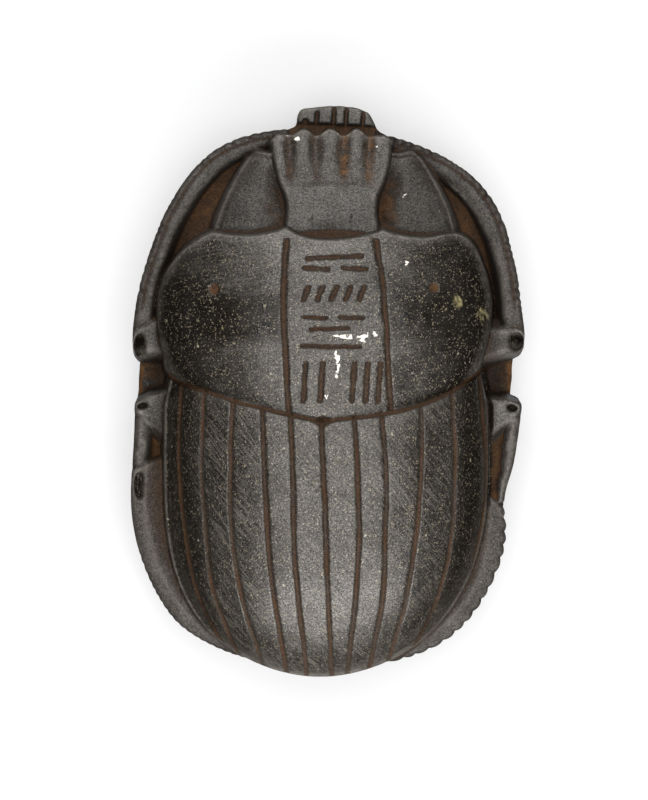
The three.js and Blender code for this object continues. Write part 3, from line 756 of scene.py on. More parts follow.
@dataclass
class Prothorax(Form):
    """The smooth shield behind the head, with its middle panel, pits and rows of strokes."""

    middle: float = -0.4
    half_width: float = 23.3
    widest_y: float = 10.5
    cross_power: float = 2.5
    side_rim: float = 14.5
    corner_rim: float = 13.4
    crest_rear: float = 28.7
    crest_front: float = 22.3
    front_y: float = 21.5
    edge: tuple = (
        *((-5.2, 22.0), (-5.8, 22.35), (-6.5, 22.1), (-7.9, 21.7), (-10.7, 21.3), (-13.7, 21.5)),
        *((-15.8, 21.9), (-17.3, 21.3), (-19.7, 19.8), (-21.9, 17.6), (-23.3, 15.0), (-23.9, 12.0)),
        *((-23.7, 8.4), (-22.9, 5.4), (-22.0, 2.4), (-18.0, 0.5), (-12.0, -1.6), (-6.0, -3.1)),
        *((-0.9, -3.9), (6.0, -3.3), (12.0, -2.0), (17.0, 0.3), (20.4, 2.6), (21.6, 5.6)),
        *((22.5, 8.6), (22.8, 12.5), (22.3, 15.7), (21.2, 18.8), (19.7, 20.9), (17.9, 21.8)),
        *((15.9, 21.6), (13.6, 21.1), (10.9, 21.2), (9.0, 21.6), (8.0, 21.9), (7.45, 22.1)),
        *((6.9, 21.8), (5.1, 21.3), (2.3, 20.8), (-1.4, 20.7), (-3.9, 21.3)),
    )
    line_y: tuple = (-3.0, 2.9, 9.6, 14.5, 20.6)
    lines: tuple = ((-5.3, -5.6, -6.0, -6.0, -5.7), (8.5, 8.1, 7.8, 7.4, 6.5))
    pits: tuple = ((-15.5, 13.9), (14.4, 14.1))
    pit_radius: float = 0.72
    # rows of plain strokes: y, length, angle in degrees, and the x of each stroke in the row
    stroke_rows: tuple = (
        (18.2, 7.8, 3, (0.9,)),
        (16.6, 3.6, -4, (-1.6, 3.6)),
        (13.2, 2.4, 68, (-3.0, -1.1, 0.8, 2.7, 4.6)),
        (9.9, 3.4, -3, (-1.8, 3.2)),
        (8.4, 5.4, 2, (0.2,)),
        (6.0, 8.2, -1, (0.4,)),
        (1.2, 5.6, 86, (-3.2, -0.9, 3.4, 5.2, 6.9)),
    )
    stroke_half_width: float = 0.345
    stroke_depth: float = 0.4

    def half(self) -> Grid:
        """Spans the dome, narrowing to the front and the rear.

        Returns:
            Its half width over the plan.
        """
        front = np.clip((np.minimum(self.y, 18.0) - self.widest_y) / 12.6, 0, 1)
        rear = np.clip((self.widest_y - self.y) / 18.0, 0, 0.98)
        ahead, behind = (1 - front**3) ** (1 / 3), np.sqrt(1 - rear**3)
        return np.where(self.y > self.widest_y, self.half_width * ahead, self.half_width * behind)

    def carve(self) -> None:
        """Lays the shield, then cuts its lines, strokes and pits."""
        x, y = self.x, self.y
        beside = np.abs(x - self.middle) / self.half()
        forward = (np.maximum(y, 0.0) / self.front_y) ** 2.3
        rim = mix(self.side_rim, self.corner_rim, np.minimum(forward, 1.0))
        crest = mix(self.crest_rear, self.crest_front, forward)
        top = rim + (crest - rim) * dome(beside, self.cross_power)
        inside = self.plan.depth_inside(rounded_outline(self.edge), 0.25)
        top = top + 0.05 * self.ripple(4.0, 101) + 0.02 * self.ripple(1.2, 102) - edge_drop(inside, 0.3, 8.0)
        brow = bell(inside - 0.22, 0.17) * smooth(14.0, 18.0, y)
        # painted shade: a dark band across the shield, stronger on the left, and darker flanks, though not on
        # the shoulders that catch the light; laid by thinning flecks and scratches
        shade_band = smooth(15.0, 11.5, y) * smooth(5.0, 8.5, y)
        lit_shoulder = np.where(x < 0, 1.0, 0.5) * smooth(14.0, 17.5, y)
        hatch_and_shade = 1.0 - np.where(x < 0, 0.8, 0.45) * shade_band
        hatch_and_shade = hatch_and_shade * (1.0 - smooth(0.62, 0.86, beside) * (1.0 - lit_shoulder)) * self.uneven(0.85, 5.0, 104)
        panel = smooth(-7.5, -5.5, x) * smooth(9.5, 7.5, x)
        stains = {Stain.BACK: 1.0, Stain.HATCH_AND_SHADE: np.maximum(hatch_and_shade, panel)}
        shows = self.relief.lay(top + 0.1 * brow, stains)
        # painted highlight as well as wear: the shield's front edge is laid pale along its crest
        self.relief.stain(Stain.WEAR_AND_HIGHLIGHT, brow * shows * self.uneven(0.8, 1.5, 103))
        self.cut_lines(shows)
        self.cut_strokes(shows)
        self.cut_pits(shows)

    def cut_lines(self, shows: Grid) -> None:
        """The two lines that bound the middle panel, cut by hand.

        Args:
            shows: where the shield is the surface.
        """
        on_panel = shows & (self.y < 20.9) & (self.y > -4.2)
        for k, xs in enumerate(self.lines):
            line = through(self.line_y, xs, self.y) + 0.07 * self.ripple(1.6, 110 + k)
            away = np.where(on_panel, np.abs(self.x - line), FAR)
            width = 0.39 + 0.05 * self.ripple(2.0, 112 + k)
            self.relief.cut(away, width, 0.42, self.uneven(0.85, 1.0, 114))

    def cut_strokes(self, shows: Grid) -> None:
        """Rows of short plain strokes down the panel.

        Args:
            shows: where the shield is the surface.
        """
        strokes = [(x, *row[:3]) for row in self.stroke_rows for x in row[3]]
        for count, (x, y, length, angle) in enumerate(strokes):
            c, s = math.cos(math.radians(angle)), math.sin(math.radians(angle))
            run = (self.x - x) * c + (self.y - y) * s
            off = (self.y - y) * c - (self.x - x) * s + 0.07 * self.ripple(0.8, 130 + count)
            away = np.hypot(off, np.maximum(np.abs(run) - length / 2 + 0.25, 0.0))
            width = self.stroke_half_width * (1.0 + 0.22 * self.ripple(0.9, 160 + count))
            fill = self.uneven(0.85, 0.7, 180 + count)
            self.relief.cut(np.where(shows, away, FAR), width, self.stroke_depth, fill)

    def cut_pits(self, shows: Grid) -> None:
        """Two small round pits, filled with reddish dirt.

        Args:
            shows: where the shield is the surface.
        """
        for x, y in self.pits:
            away = np.hypot(self.x - x, (self.y - y) * 0.9) + 0.08 * self.ripple(0.6, 150)
            sunk = (1.0 - smooth(0.7, 1.15, away / self.pit_radius)) * shows
            self.sink(0.35 * sunk)
            self.relief.stain(Stain.DIRT, sunk)
            self.relief.stain(Stain.RUST, 0.4 * sunk)


@dataclass
class WingCases(Form):
    """The ribbed wing cases, a long dome scored from the shield to the tail."""

    half_width: float = 22.65
    widest_y: float = -8.0
    tail_length: float = 32.15
    length_power: float = 3.0
    width_power: float = 0.51
    lean_front: float = -0.2
    lean_tail: float = -1.1
    crest: float = 30.0
    side_rim: float = 13.0
    tail_rim: float = 7.5
    cross_power: float = 2.7
    fall_power: float = 2.7
    left_lip: float = 0.4
    right_lip: float = 0.2
    rim_height: float = 0.22
    trench_depth: float = 3.0
    # where the wing cases meet the shield
    junction_x: tuple = (-22.0, -20.5, -16.8, -12.8, -9.1, -5.3, -0.9, 2.4, 7.6, 12.8, 17.1, 20.4, 22.5)
    junction_y: tuple = (2.2, 1.3, 0.05, -1.3, -2.25, -3.15, -3.95, -3.7, -3.05, -1.8, 0.1, 2.3, 3.4)
    # x of each striation at these places along the back
    line_y: tuple = (-35.0, -28.0, -20.0, -10.0, 0.0)
    lines: tuple = (
        (-15.0, -18.0, -19.6, -20.5, -20.2),
        (-13.2, -15.6, -16.6, -17.2, -16.8),
        (-9.85, -11.75, -12.9, -13.2, -12.85),
        (-6.25, -7.3, -8.1, -8.6, -8.95),
        (-3.3, -4.0, -4.6, -4.8, -5.1),
        (0.3, 0.0, -0.25, -0.7, -0.85),
        (3.05, 3.7, 4.1, 3.9, 3.1),
        (6.25, 7.4, 7.7, 7.7, 7.0),
        (9.0, 10.7, 11.85, 12.6, 12.5),
        (12.4, 15.2, 16.85, 17.3, 16.9),
        (15.1, 19.15, 21.3, 21.95, 21.05),
    )
    line_half_width: float = 0.345
    line_depth: float = 0.46
    junction_half_width: float = 0.31
    junction_depth: float = 0.42

    def __post_init__(self) -> None:
        """Works out the junction line, and the distance inside the wing cases' outline."""
        super().__post_init__()
        self.junction = through(self.junction_x, self.junction_y, self.x)
        self.inside = self.plan.depth_inside(self.outline(), 0.3)

    def middle(self, y: Grid) -> Grid:
        """Returns the middle line's x at each y."""
        return mix(self.lean_front, self.lean_tail, smooth(-10.0, -40.0, y))

    def half(self, y: Grid) -> Grid:
        """Returns the half width at each y, drawn in a little under the shield."""
        t = np.clip((self.widest_y - y) / self.tail_length, 0, 0.9995)
        return self.half_width * (1 - t**self.length_power) ** self.width_power - 1.2 * smooth(-3.0, 4.0, y)

    def outline(self) -> Grid:
        """Draws the wing cases' edge, from the right shoulder round the tail.

        Returns:
            The points round it.
        """
        turn = np.linspace(0, np.pi / 2, 60)
        y = np.concatenate([(5.0, 2.0, -2.0), self.widest_y - self.tail_length * np.sin(turn)])
        half = self.half(y)
        half[-1] = 0.0
        right, left = (np.stack([self.middle(y) + way * half, y], 1) for way in (1, -1))
        return np.concatenate([right, left[::-1][1:]])

    def top(self, out: Grid) -> Grid:
        """Height of the wing cases before they are scored.

        Args:
            out: distance from the middle line, across, at each place of the plan.

        Returns:
            The height.
        """
        y = self.y
        behind = np.clip((self.widest_y - y) / self.tail_length, 0, 1)
        rim = mix(self.side_rim, self.tail_rim, smooth(-8.0, -38.0, y))
        crest = self.crest - 0.9 * smooth(-10.0, 2.0, y)
        fall = np.sqrt(np.clip(1 - behind**self.fall_power, 0, 1))
        beside = np.abs(out) / np.maximum(self.half(y), 0.5)
        return rim + (crest - rim) * fall * dome(beside, self.cross_power)

    def carve(self) -> None:
        """Lays the wing cases with their flat narrow lip, and scores them."""
        x, y, inside = self.x, self.y, self.inside
        out, half = x - self.middle(y), self.half(y)
        lip = np.where(out < 0, self.left_lip, self.right_lip) * smooth(-37.5, -33.0, y)
        top = self.top(np.sign(out) * np.minimum(np.abs(out), half - lip))
        top = top + 0.05 * self.ripple(4.0, 201) + 0.02 * self.ripple(1.2, 202) - edge_drop(inside, 0.15, 8.0)
        # painted shade: towards the rim the flanks get fewer flecks and scratches, so they read darker
        hatch_and_shade = 1.0 - smooth(0.70, 0.93, np.abs(out) / np.maximum(half, 0.5))
        stains = {Stain.BACK: 1.0, Stain.HATCH_AND_SHADE: hatch_and_shade}
        shows = self.relief.lay(top, stains, y < self.junction + 0.2)
        self.raise_rim(shows)
        for k, xs in enumerate(self.lines):
            self.score(k, xs, shows)
        self.cut_junction()

    def raise_rim(self, shows: Grid) -> None:
        """The worn rim with a painted highlight along it, wear and a pale painted highlight at the tail, and
        on the right the trench outside it.

        Args:
            shows: where the wing cases are the surface.
        """
        x, y, inside = self.x, self.y, self.inside
        rim = bell(inside - 0.2, 0.2) * smooth(4.0, 1.0, y) * shows
        self.sink(-self.rim_height * rim)
        # painted highlight as well as wear along the rim
        self.relief.stain(Stain.WEAR_AND_HIGHLIGHT, 0.9 * rim * self.uneven(0.75, 1.2, 203))
        # painted highlight: the tail's edge is laid pale and worn where it faces the light behind the tail
        lit = smooth(-32.0, -37.0, y) * (1.0 - smooth(0.5, 1.5, inside)) * shows
        self.relief.stain(Stain.PALE, 0.34 * lit * self.uneven(0.8, 0.8, 205))
        self.relief.stain(Stain.WEAR_AND_HIGHLIGHT, 0.9 * lit * self.uneven(0.8, 1.0, 204))
        trench = bell(inside + 0.24, 0.2) * smooth(-17.0, -14.0, y) * smooth(5.0, 3.0, y)
        self.sink(self.trench_depth * trench * (x > 0))

    def score(self, k: int, xs: tuple, shows: Grid) -> None:
        """One striation, which runs on past its last station at the tail.

        Args:
            k: its number.
            xs: its x at each station.
            shows: where the wing cases are the surface.
        """
        below = np.minimum(self.y - self.line_y[0], 0.0)
        line = through(self.line_y, xs, self.y) + (xs[0] - xs[1]) / -7.0 * below * 0.8
        line = line + 0.07 * self.ripple(1.8, 210 + k, 1.5) + 0.05 * self.ripple(5.0, 230 + k)
        slope = np.abs(np.gradient(line, self.plan.step, axis=0))
        away = np.abs(self.x - line) / np.sqrt(1 + slope**2)
        width = self.line_half_width + 0.05 * self.ripple(1.5, 250 + k, 2.0)
        fill = 0.85 + 0.2 * self.ripple(1.0, 270 + k, 3.0)
        self.relief.cut(np.where((self.inside > 0.2) & shows, away, FAR), width, self.line_depth, fill)

    def cut_junction(self) -> None:
        """The brown line between the wing cases and the shield, widened in the middle."""
        line = self.junction + 0.06 * self.ripple(2.0, 290)
        slope = np.gradient(line, self.plan.step, axis=1)
        away = np.abs(self.y - line) / np.sqrt(1 + slope**2)
        away = np.where(np.abs(self.x) < 22.5, away, FAR)
        width = self.junction_half_width + 0.06 * self.ripple(1.5, 291)
        self.relief.cut(away, width, self.junction_depth, 0.95)
        self.relief.stain(Stain.RUST, 0.1 * (1.0 - smooth(0.1, 0.35, away)))
        notch = np.abs(self.x + 0.75) * 0.55 + np.abs(self.y + 4.1)
        self.relief.cut(notch, 0.95, 0.35, 0.9)


@dataclass
class Marks:
    """Scuffs, chips and patches on the finished carving: ovals, by their middle and half sizes."""

    scuffs: tuple = (
        *((1.7, 7.35, 0.85, 0.3), (3.4, 7.3, 1.0, 0.27), (5.0, 7.3, 0.6, 0.3), (6.0, 7.75, 0.8, 0.27)),
        *((4.75, 6.8, 0.3, 0.45), (1.15, 4.7, 0.33, 0.55), (1.4, 3.5, 0.3, 0.8), (0.95, 2.3, 0.27, 0.5)),
        *((0.0, -0.7, 0.35, 0.3), (10.7, 17.4, 0.3, 0.3), (-4.2, 35.1, 0.45, 0.3)),
        *((6.95, 34.1, 0.25, 0.25), (10.7, 27.1, 0.45, 0.25)),
    )
    scuff_spread: float = 1.75
    scuff_strength: float = 0.72
    # pale spots; the last, on the left hind knee, is a white chip and a painted highlight
    spots: tuple = (
        *((-12.1, -6.3, 0.45, 0.5), (-9.0, -18.8, 0.7, 0.22), (9.9, -11.7, 0.5, 0.5)),
        *((8.3, -15.0, 0.3, 0.5), (-13.6, -25.5, 1.3, 0.2), (-26.0, -10.7, 0.5, 0.45)),
    )
    spot_strength: float = 0.5
    patches: tuple = ((21.3, 10.5, 1.2, 1.3), (17.7, 12.1, 0.9, 1.4))
    patch_strength: float = 0.76
    faint_patches: tuple = ((18.0, 9.7, 2.8, 0.3), (-14.8, 8.4, 1.4, 1.2))
    faint_strength: float = 0.4

    def add(self, relief: Relief) -> None:
        """Puts the marks on the stone.

        Args:
            relief: the stone.
        """
        spread = self.scuff_spread
        scuffs = tuple((x, y, wide * spread, long * spread) for x, y, wide, long in self.scuffs)
        for stain, ovals, strength in (
            (Stain.PALE, scuffs, self.scuff_strength),
            (Stain.PALE, self.spots, self.spot_strength),
            (Stain.OCHRE, self.patches, self.patch_strength),
            (Stain.OCHRE, self.faint_patches, self.faint_strength),
        ):
            for oval in ovals:
                relief.blot(stain, oval, strength)


# ------------------------------------------------------------------ the mesh
class Skin:
    """Turns a solid, given as a field that is negative inside the stone, into a mesh."""

    def __init__(self, origin: tuple, step: float) -> None:
        """Keeps where the field begins.

        Args:
            origin: the field's lowest corner.
            step: distance between its points.
        """
        self.origin = np.array(origin)
        self.step = step

    def wrap(self, values: Grid) -> tuple:
        """Finds the surface.

        Args:
            values: the field, in the order z, y, x.

        Returns:
            The points and the four-cornered faces.
        """
        inside = values < 0
        corners = [(a, b, c) for a in (0, 1) for b in (0, 1) for c in (0, 1)]
        nz, ny, nx = (count - 1 for count in inside.shape)
        some, every = np.zeros((nz, ny, nx), bool), np.ones((nz, ny, nx), bool)
        for a, b, c in corners:
            part = inside[a : a + nz, b : b + ny, c : c + nx]
            some |= part
            every &= part
        k, j, i = np.nonzero(some & ~every)
        number = np.full(some.shape, -1, np.int32)
        number[k, j, i] = np.arange(len(k))
        total, hits = np.zeros((len(k), 3)), np.zeros(len(k))
        for a in corners:
            for axis in (axis for axis in range(3) if not a[axis]):
                b = list(a)
                b[axis] = 1
                low = values[k + a[0], j + a[1], i + a[2]]
                high = values[k + b[0], j + b[1], i + b[2]]
                crossed = (low < 0) != (high < 0)
                share = np.where(crossed, low / np.where(crossed, low - high, 1.0), 0.0)
                at = np.array(a, float)[None, :].repeat(len(k), 0)
                at[:, axis] += share
                total += at * crossed[:, None]
                hits += crossed
        place = total / hits[:, None] + np.stack([k, j, i], 1)
        return place[:, ::-1] * self.step + self.origin, self.faces(inside, number)

    @staticmethod
    def faces(inside: Grid, number: Grid) -> Grid:
        """Joins the cells round each crossed grid line.

        Args:
            inside: where the field is inside the stone.
            number: each cell's point, or -1.

        Returns:
            The four corners of each face, facing out.
        """
        found = []
        for axis in range(3):
            u, v = (a for a in range(3) if a != axis)
            low = np.take(inside, range(inside.shape[axis] - 1), axis=axis)
            high = np.take(inside, range(1, inside.shape[axis]), axis=axis)
            at = np.array(np.nonzero(low != high))
            start = low[tuple(at)]
            quad = []
            for du, dv in ((1, 1), (0, 1), (0, 0), (1, 0)):
                cell = at.copy()
                cell[u] -= du
                cell[v] -= dv
                quad.append(number[tuple(cell)])
            quad = np.stack(quad, 1)
            flip = start if axis == 1 else ~start
            quad[flip] = quad[flip][:, ::-1]
            found.append(quad)
        return np.concatenate(found)


def mesh_from(name: str, points: Grid, faces: Grid) -> bpy.types.Object:
    """Makes a Blender object quickly from arrays.

    Args:
        name: the object's name.
        points: its points in metres.
        faces: the corners of its four-cornered faces.

    Returns:
        The object, linked to the scene.
    """
    mesh = bpy.data.meshes.new(name)
    mesh.vertices.add(len(points))
    mesh.vertices.foreach_set("co", points.astype(np.float32).ravel())
    mesh.loops.add(faces.size)
    mesh.loops.foreach_set("vertex_index", faces.astype(np.int32).ravel())
    mesh.polygons.add(len(faces))
    mesh.polygons.foreach_set("loop_start", np.arange(len(faces), dtype=np.int32) * 4)
    mesh.update(calc_edges=True)
    mesh.validate()
    thing = bpy.data.objects.new(name, mesh)
    bpy.context.scene.collection.objects.link(thing)
    return thing


def points_of(mesh: bpy.types.Mesh) -> Grid:
    """Reads a mesh's points.

    Args:
        mesh: the mesh.

    Returns:
        The points in metres, one a row.
    """
    co = np.empty(len(mesh.vertices) * 3, np.float32)
    mesh.vertices.foreach_get("co", co)
    return co.reshape(-1, 3)


@dataclass
class CarvedStone:
    """The whole scarab as one closed mesh with its stains."""

    step: float = 0.17
    quick_step: float = 0.3
    reach: tuple = (28.9, 41.3, 31.0)
    most_triangles: int = 190000
    undercut: float = 0.6
    undercut_z: float = 4.9

    def build(self) -> tuple:
        """Carves the stone.

        Returns:
            The finished object, and how far it was moved from the carving's own middle, in mm.
        """
        plan, slab = Plan(), Slab()
        relief = Relief(plan, slab)
        left, right, head, cases = Legs(relief), Legs.right(relief), Head(relief), WingCases(relief)
        slab.carve(relief)
        head.carve_floor()
        for form in (left, right, head, cases, Prothorax(relief)):
            form.carve()
        cases.cut_junction()  # once more, now that the shield lies over it
        Marks().add(relief)
        self.weather(relief)
        overhang = np.where(left.own, left.reach, right.reach)
        points, faces = self.surface(plan, (relief.height, relief.depth, overhang, head.block, cases.inside))
        thing = mesh_from("scarab_stone", points * MM, faces)
        self.thin(thing)
        shift = self.fit(thing)
        self.paint(thing.data, relief, shift)
        return thing, shift

    def weather(self, relief: Relief) -> None:
        """Softens the cutting marks, lets dirt gather in every hollow, and pales the raised edges with wear
        and painted highlight.

        Args:
            relief: the stone.
        """
        plan, back = relief.plan, relief.stains[Stain.BACK]
        worn_limbs = plan.soften((back < 0.5) * smooth(30.0, 20.0, plan.y), 0.3)
        relief.height = mix(plan.soften(relief.height, 0.08), plan.soften(relief.height, 0.15), worn_limbs)
        hollow = plan.soften(relief.height, 0.7) - relief.height
        gathers = 0.8 - 0.75 * np.clip(back - relief.stains[Stain.HATCH_AND_SHADE], 0, 1)
        relief.stain(Stain.DIRT, gathers * smooth(0.25, 1.1, hollow + 0.15 * plan.ripple(0.8, 301)))
        # raised edges laid pale: wear and painted highlight
        edge_wear_and_highlight = smooth(0.1, 0.45, -hollow) * (0.7 + 0.3 * plan.ripple(1.5, 302))
        relief.stain(Stain.WEAR_AND_HIGHLIGHT, edge_wear_and_highlight * mix(0.42, 0.3, back))

    def surface(self, plan: Plan, maps: tuple) -> tuple:
        """Fills the field level by level and wraps it.

        Args:
            plan: the plan grid.
            maps: the height, the distance inside the slab's edge, how far the legs overhang it, and the
                distances inside the toothed block and the wing cases.

        Returns:
            The points and faces of the closed surface, in millimetres.
        """
        step = self.step
        xs, ys = (np.arange(-reach, reach, step) for reach in self.reach[:2])
        zs = np.arange(-2 * step, self.reach[2], step) + 0.37 * step
        x, y = np.meshgrid(xs, ys)
        height, inside, out, front, tail = (plan.read(values, x, y) for values in maps)
        ragged = 0.06 * plan.read(plan.ripple(1.5, 401), x, y)
        values = np.empty((len(zs), len(ys), len(xs)), np.float32)
        for k, z in enumerate(zs):
            above = float(smooth(SLAB_TOP, 5.3, np.array(z)))
            line = self.undercut * math.exp(-(((z - self.undercut_z) / 0.33) ** 2))
            bevel = max(0.0, 0.5 - z) * 0.8
            rim = -(inside + out * above - line - bevel + ragged * (1.0 - above))
            wall = np.minimum(np.minimum(rim, -front), -tail + max(0.0, 1.5 - z) * 0.5)
            values[k] = np.maximum(np.maximum(z - height, -z), wall)
        return Skin((xs[0], ys[0], zs[0]), step).wrap(values)

    def thin(self, thing: bpy.types.Object) -> None:
        """Thins the mesh where it is flat, keeping its carving.

        Args:
            thing: the dense object.
        """
        triangles = sum(len(p.vertices) - 2 for p in thing.data.polygons)
        if triangles > self.most_triangles:
            thinner = thing.modifiers.new("thin", "DECIMATE")
            thinner.ratio = self.most_triangles / triangles
            graph = bpy.context.evaluated_depsgraph_get()
            mesh = bpy.data.meshes.new_from_object(thing.evaluated_get(graph))
            thing.modifiers.clear()
            thing.data = mesh
        log.info("stone: %d triangles thinned to %d", triangles, len(thing.data.polygons))

    def fit(self, thing: bpy.types.Object) -> Grid:
        """Centres the stone on its CAD solid and keeps it inside that box.

        Args:
            thing: the object.

        Returns:
            How far it was moved, in millimetres.
        """
        mesh = thing.data
        co = points_of(mesh).astype(float)
        low, high = (np.array(corner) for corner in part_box("scarab"))
        size, room = co.max(0) - co.min(0), high - low
        log.info("stone: %s mm in a box of %s mm", np.round(size / MM, 3), np.round(room / MM, 3))
        scale = np.minimum(1.0, room / size * 0.9999)
        middle = (co.max(0) + co.min(0)) / 2
        target = (low + high) / 2
        target[2] = low[2] + size[2] * scale[2] / 2
        co = (co - middle) * scale + target
        mesh.vertices.foreach_set("co", co.astype(np.float32).ravel())
        mesh.update()
        mesh.shade_smooth()
        return (target - middle) / MM

    def paint(self, mesh: bpy.types.Mesh, relief: Relief, shift: Grid) -> None:
        """Writes the stains to the mesh; they fade down the walls.

        Args:
            mesh: the stone's mesh.
            relief: the carved height and its stains.
            shift: how far the stone was moved, in millimetres.
        """
        x, y, z = (points_of(mesh) / MM - shift).T
        below = relief.plan.read(relief.height, x, y) - z
        shown = 1.0 - smooth(0.8, 2.5, below)
        for stain in Stain:
            amount = relief.plan.read(relief.stains[stain], x, y) * shown
            if stain is Stain.RUST:
                amount = amount * (1.0 - smooth(0.2, 1.4, below) * (z < SLAB_TOP))
            if stain is Stain.DIRT:
                seam = 0.45 * np.exp(-(((z - self.undercut_z) / 0.5) ** 2))
                amount = np.maximum(amount, seam * (1 - shown))
            layer = mesh.attributes.new(stain.value, "FLOAT", "POINT")
            layer.data.foreach_set("value", amount.astype(np.float32))


# ------------------------------------------------------------------ finishes
class Wiring:
    """Short words for building a material's nodes."""

    def __init__(self, name: str) -> None:
        """Makes an empty material.

        Args:
            name: the material's name.
        """
        self.material = bpy.data.materials.new(name)
        self.material.use_nodes = True
        self.tree = self.material.node_tree
        self.tree.nodes.clear()

    def node(self, kind: str, inputs: dict | None = None, **settings: object) -> bpy.types.Node:
        """Adds a node.

        Args:
            kind: the node's type.
            inputs: a value or another node's socket for each input.
            **settings: properties of the node.

        Returns:
            The node.
        """
        made = self.tree.nodes.new(kind)
        for key, value in settings.items():
            setattr(made, key, value)
        for key, value in (inputs or {}).items():
            if isinstance(value, Socket):
                self.tree.links.new(value, made.inputs[key])
            else:
                made.inputs[key].default_value = value
        return made

    def math(self, operation: str, a: float | Socket, b: float | Socket, clamp: bool = False) -> Socket:
        """Returns the result of a sum on two values or sockets."""
        return self.node("ShaderNodeMath", {0: a, 1: b}, operation=operation, use_clamp=clamp).outputs[0]

    def times(self, a: float | Socket, b: float | Socket) -> Socket:
        """Returns the product of two values or sockets."""
        return self.math("MULTIPLY", a, b)

    def plus(self, a: float | Socket, b: float | Socket) -> Socket:
        """Returns the sum of two values or sockets."""
        return self.math("ADD", a, b)

    def step(self, value: Socket, low: float, high: float, start: float = 0.0, end: float = 1.0) -> Socket:
        """Returns a smooth step of a socket from start to end between low and high."""
        sizes = {"Value": value, "From Min": low, "From Max": high, "To Min": start, "To Max": end}
        return self.node("ShaderNodeMapRange", sizes, interpolation_type="SMOOTHSTEP").outputs["Result"]

    def blend(self, share: float | Socket, first: tuple | Socket, second: tuple | Socket) -> Socket:
        """Returns a colour between two colours or sockets."""
        ends = (c if isinstance(c, Socket) else (*c, 1.0) for c in (first, second))
        return self.node("ShaderNodeMix", dict(zip((0, 6, 7), (share, *ends))), data_type="RGBA").outputs[2]

    def show(self, inputs: dict) -> bpy.types.Material:
        """Puts a shader on the material's surface.

        Args:
            inputs: a value or another node's socket for each of the shader's inputs.

        Returns:
            The material.
        """
        shader = self.node("ShaderNodeBsdfPrincipled", inputs)
        self.node("ShaderNodeOutputMaterial", {"Surface": shader.outputs["BSDF"]})
        return self.material


class StoneWiring(Wiring):
    """Wiring that also knows each spot's place and what it carries."""

    def __init__(self, name: str) -> None:
        """Makes the material with the sockets that are read all over it.

        Args:
            name: the material's name.
        """
        super().__init__(name)
        self.place = self.node("ShaderNodeTexCoord").outputs["Object"]
        nodes = {stain: self.node("ShaderNodeAttribute", attribute_name=stain.value) for stain in Stain}
        self.stains = {stain: node.outputs["Fac"] for stain, node in nodes.items()}

    def noise(self, scale: float, detail: float, rough: float, place: Socket | None = None) -> Socket:
        """Adds a noise texture.

        Args:
            scale: hills to a metre.
            detail: how many finer layers it has.
            rough: how strong they are.
            place: where it is read, if not at each spot's own place.

        Returns:
            Its value.
        """
        place = self.place if place is None else place
        sizes = {"Vector": place, "Scale": scale, "Detail": detail, "Roughness": rough}
        return self.node("ShaderNodeTexNoise", sizes).outputs["Fac"]

    def by(self, stain: Stain, start: float, end: float) -> Socket:
        """Returns a value that goes from start where a stain is missing to end where it is full."""
        return self.step(self.stains[stain], 0.0, 1.0, start, end)


def shaded(colour: tuple, share: float) -> tuple:
    """Returns a colour made lighter or darker."""
    return tuple(c * share for c in colour)


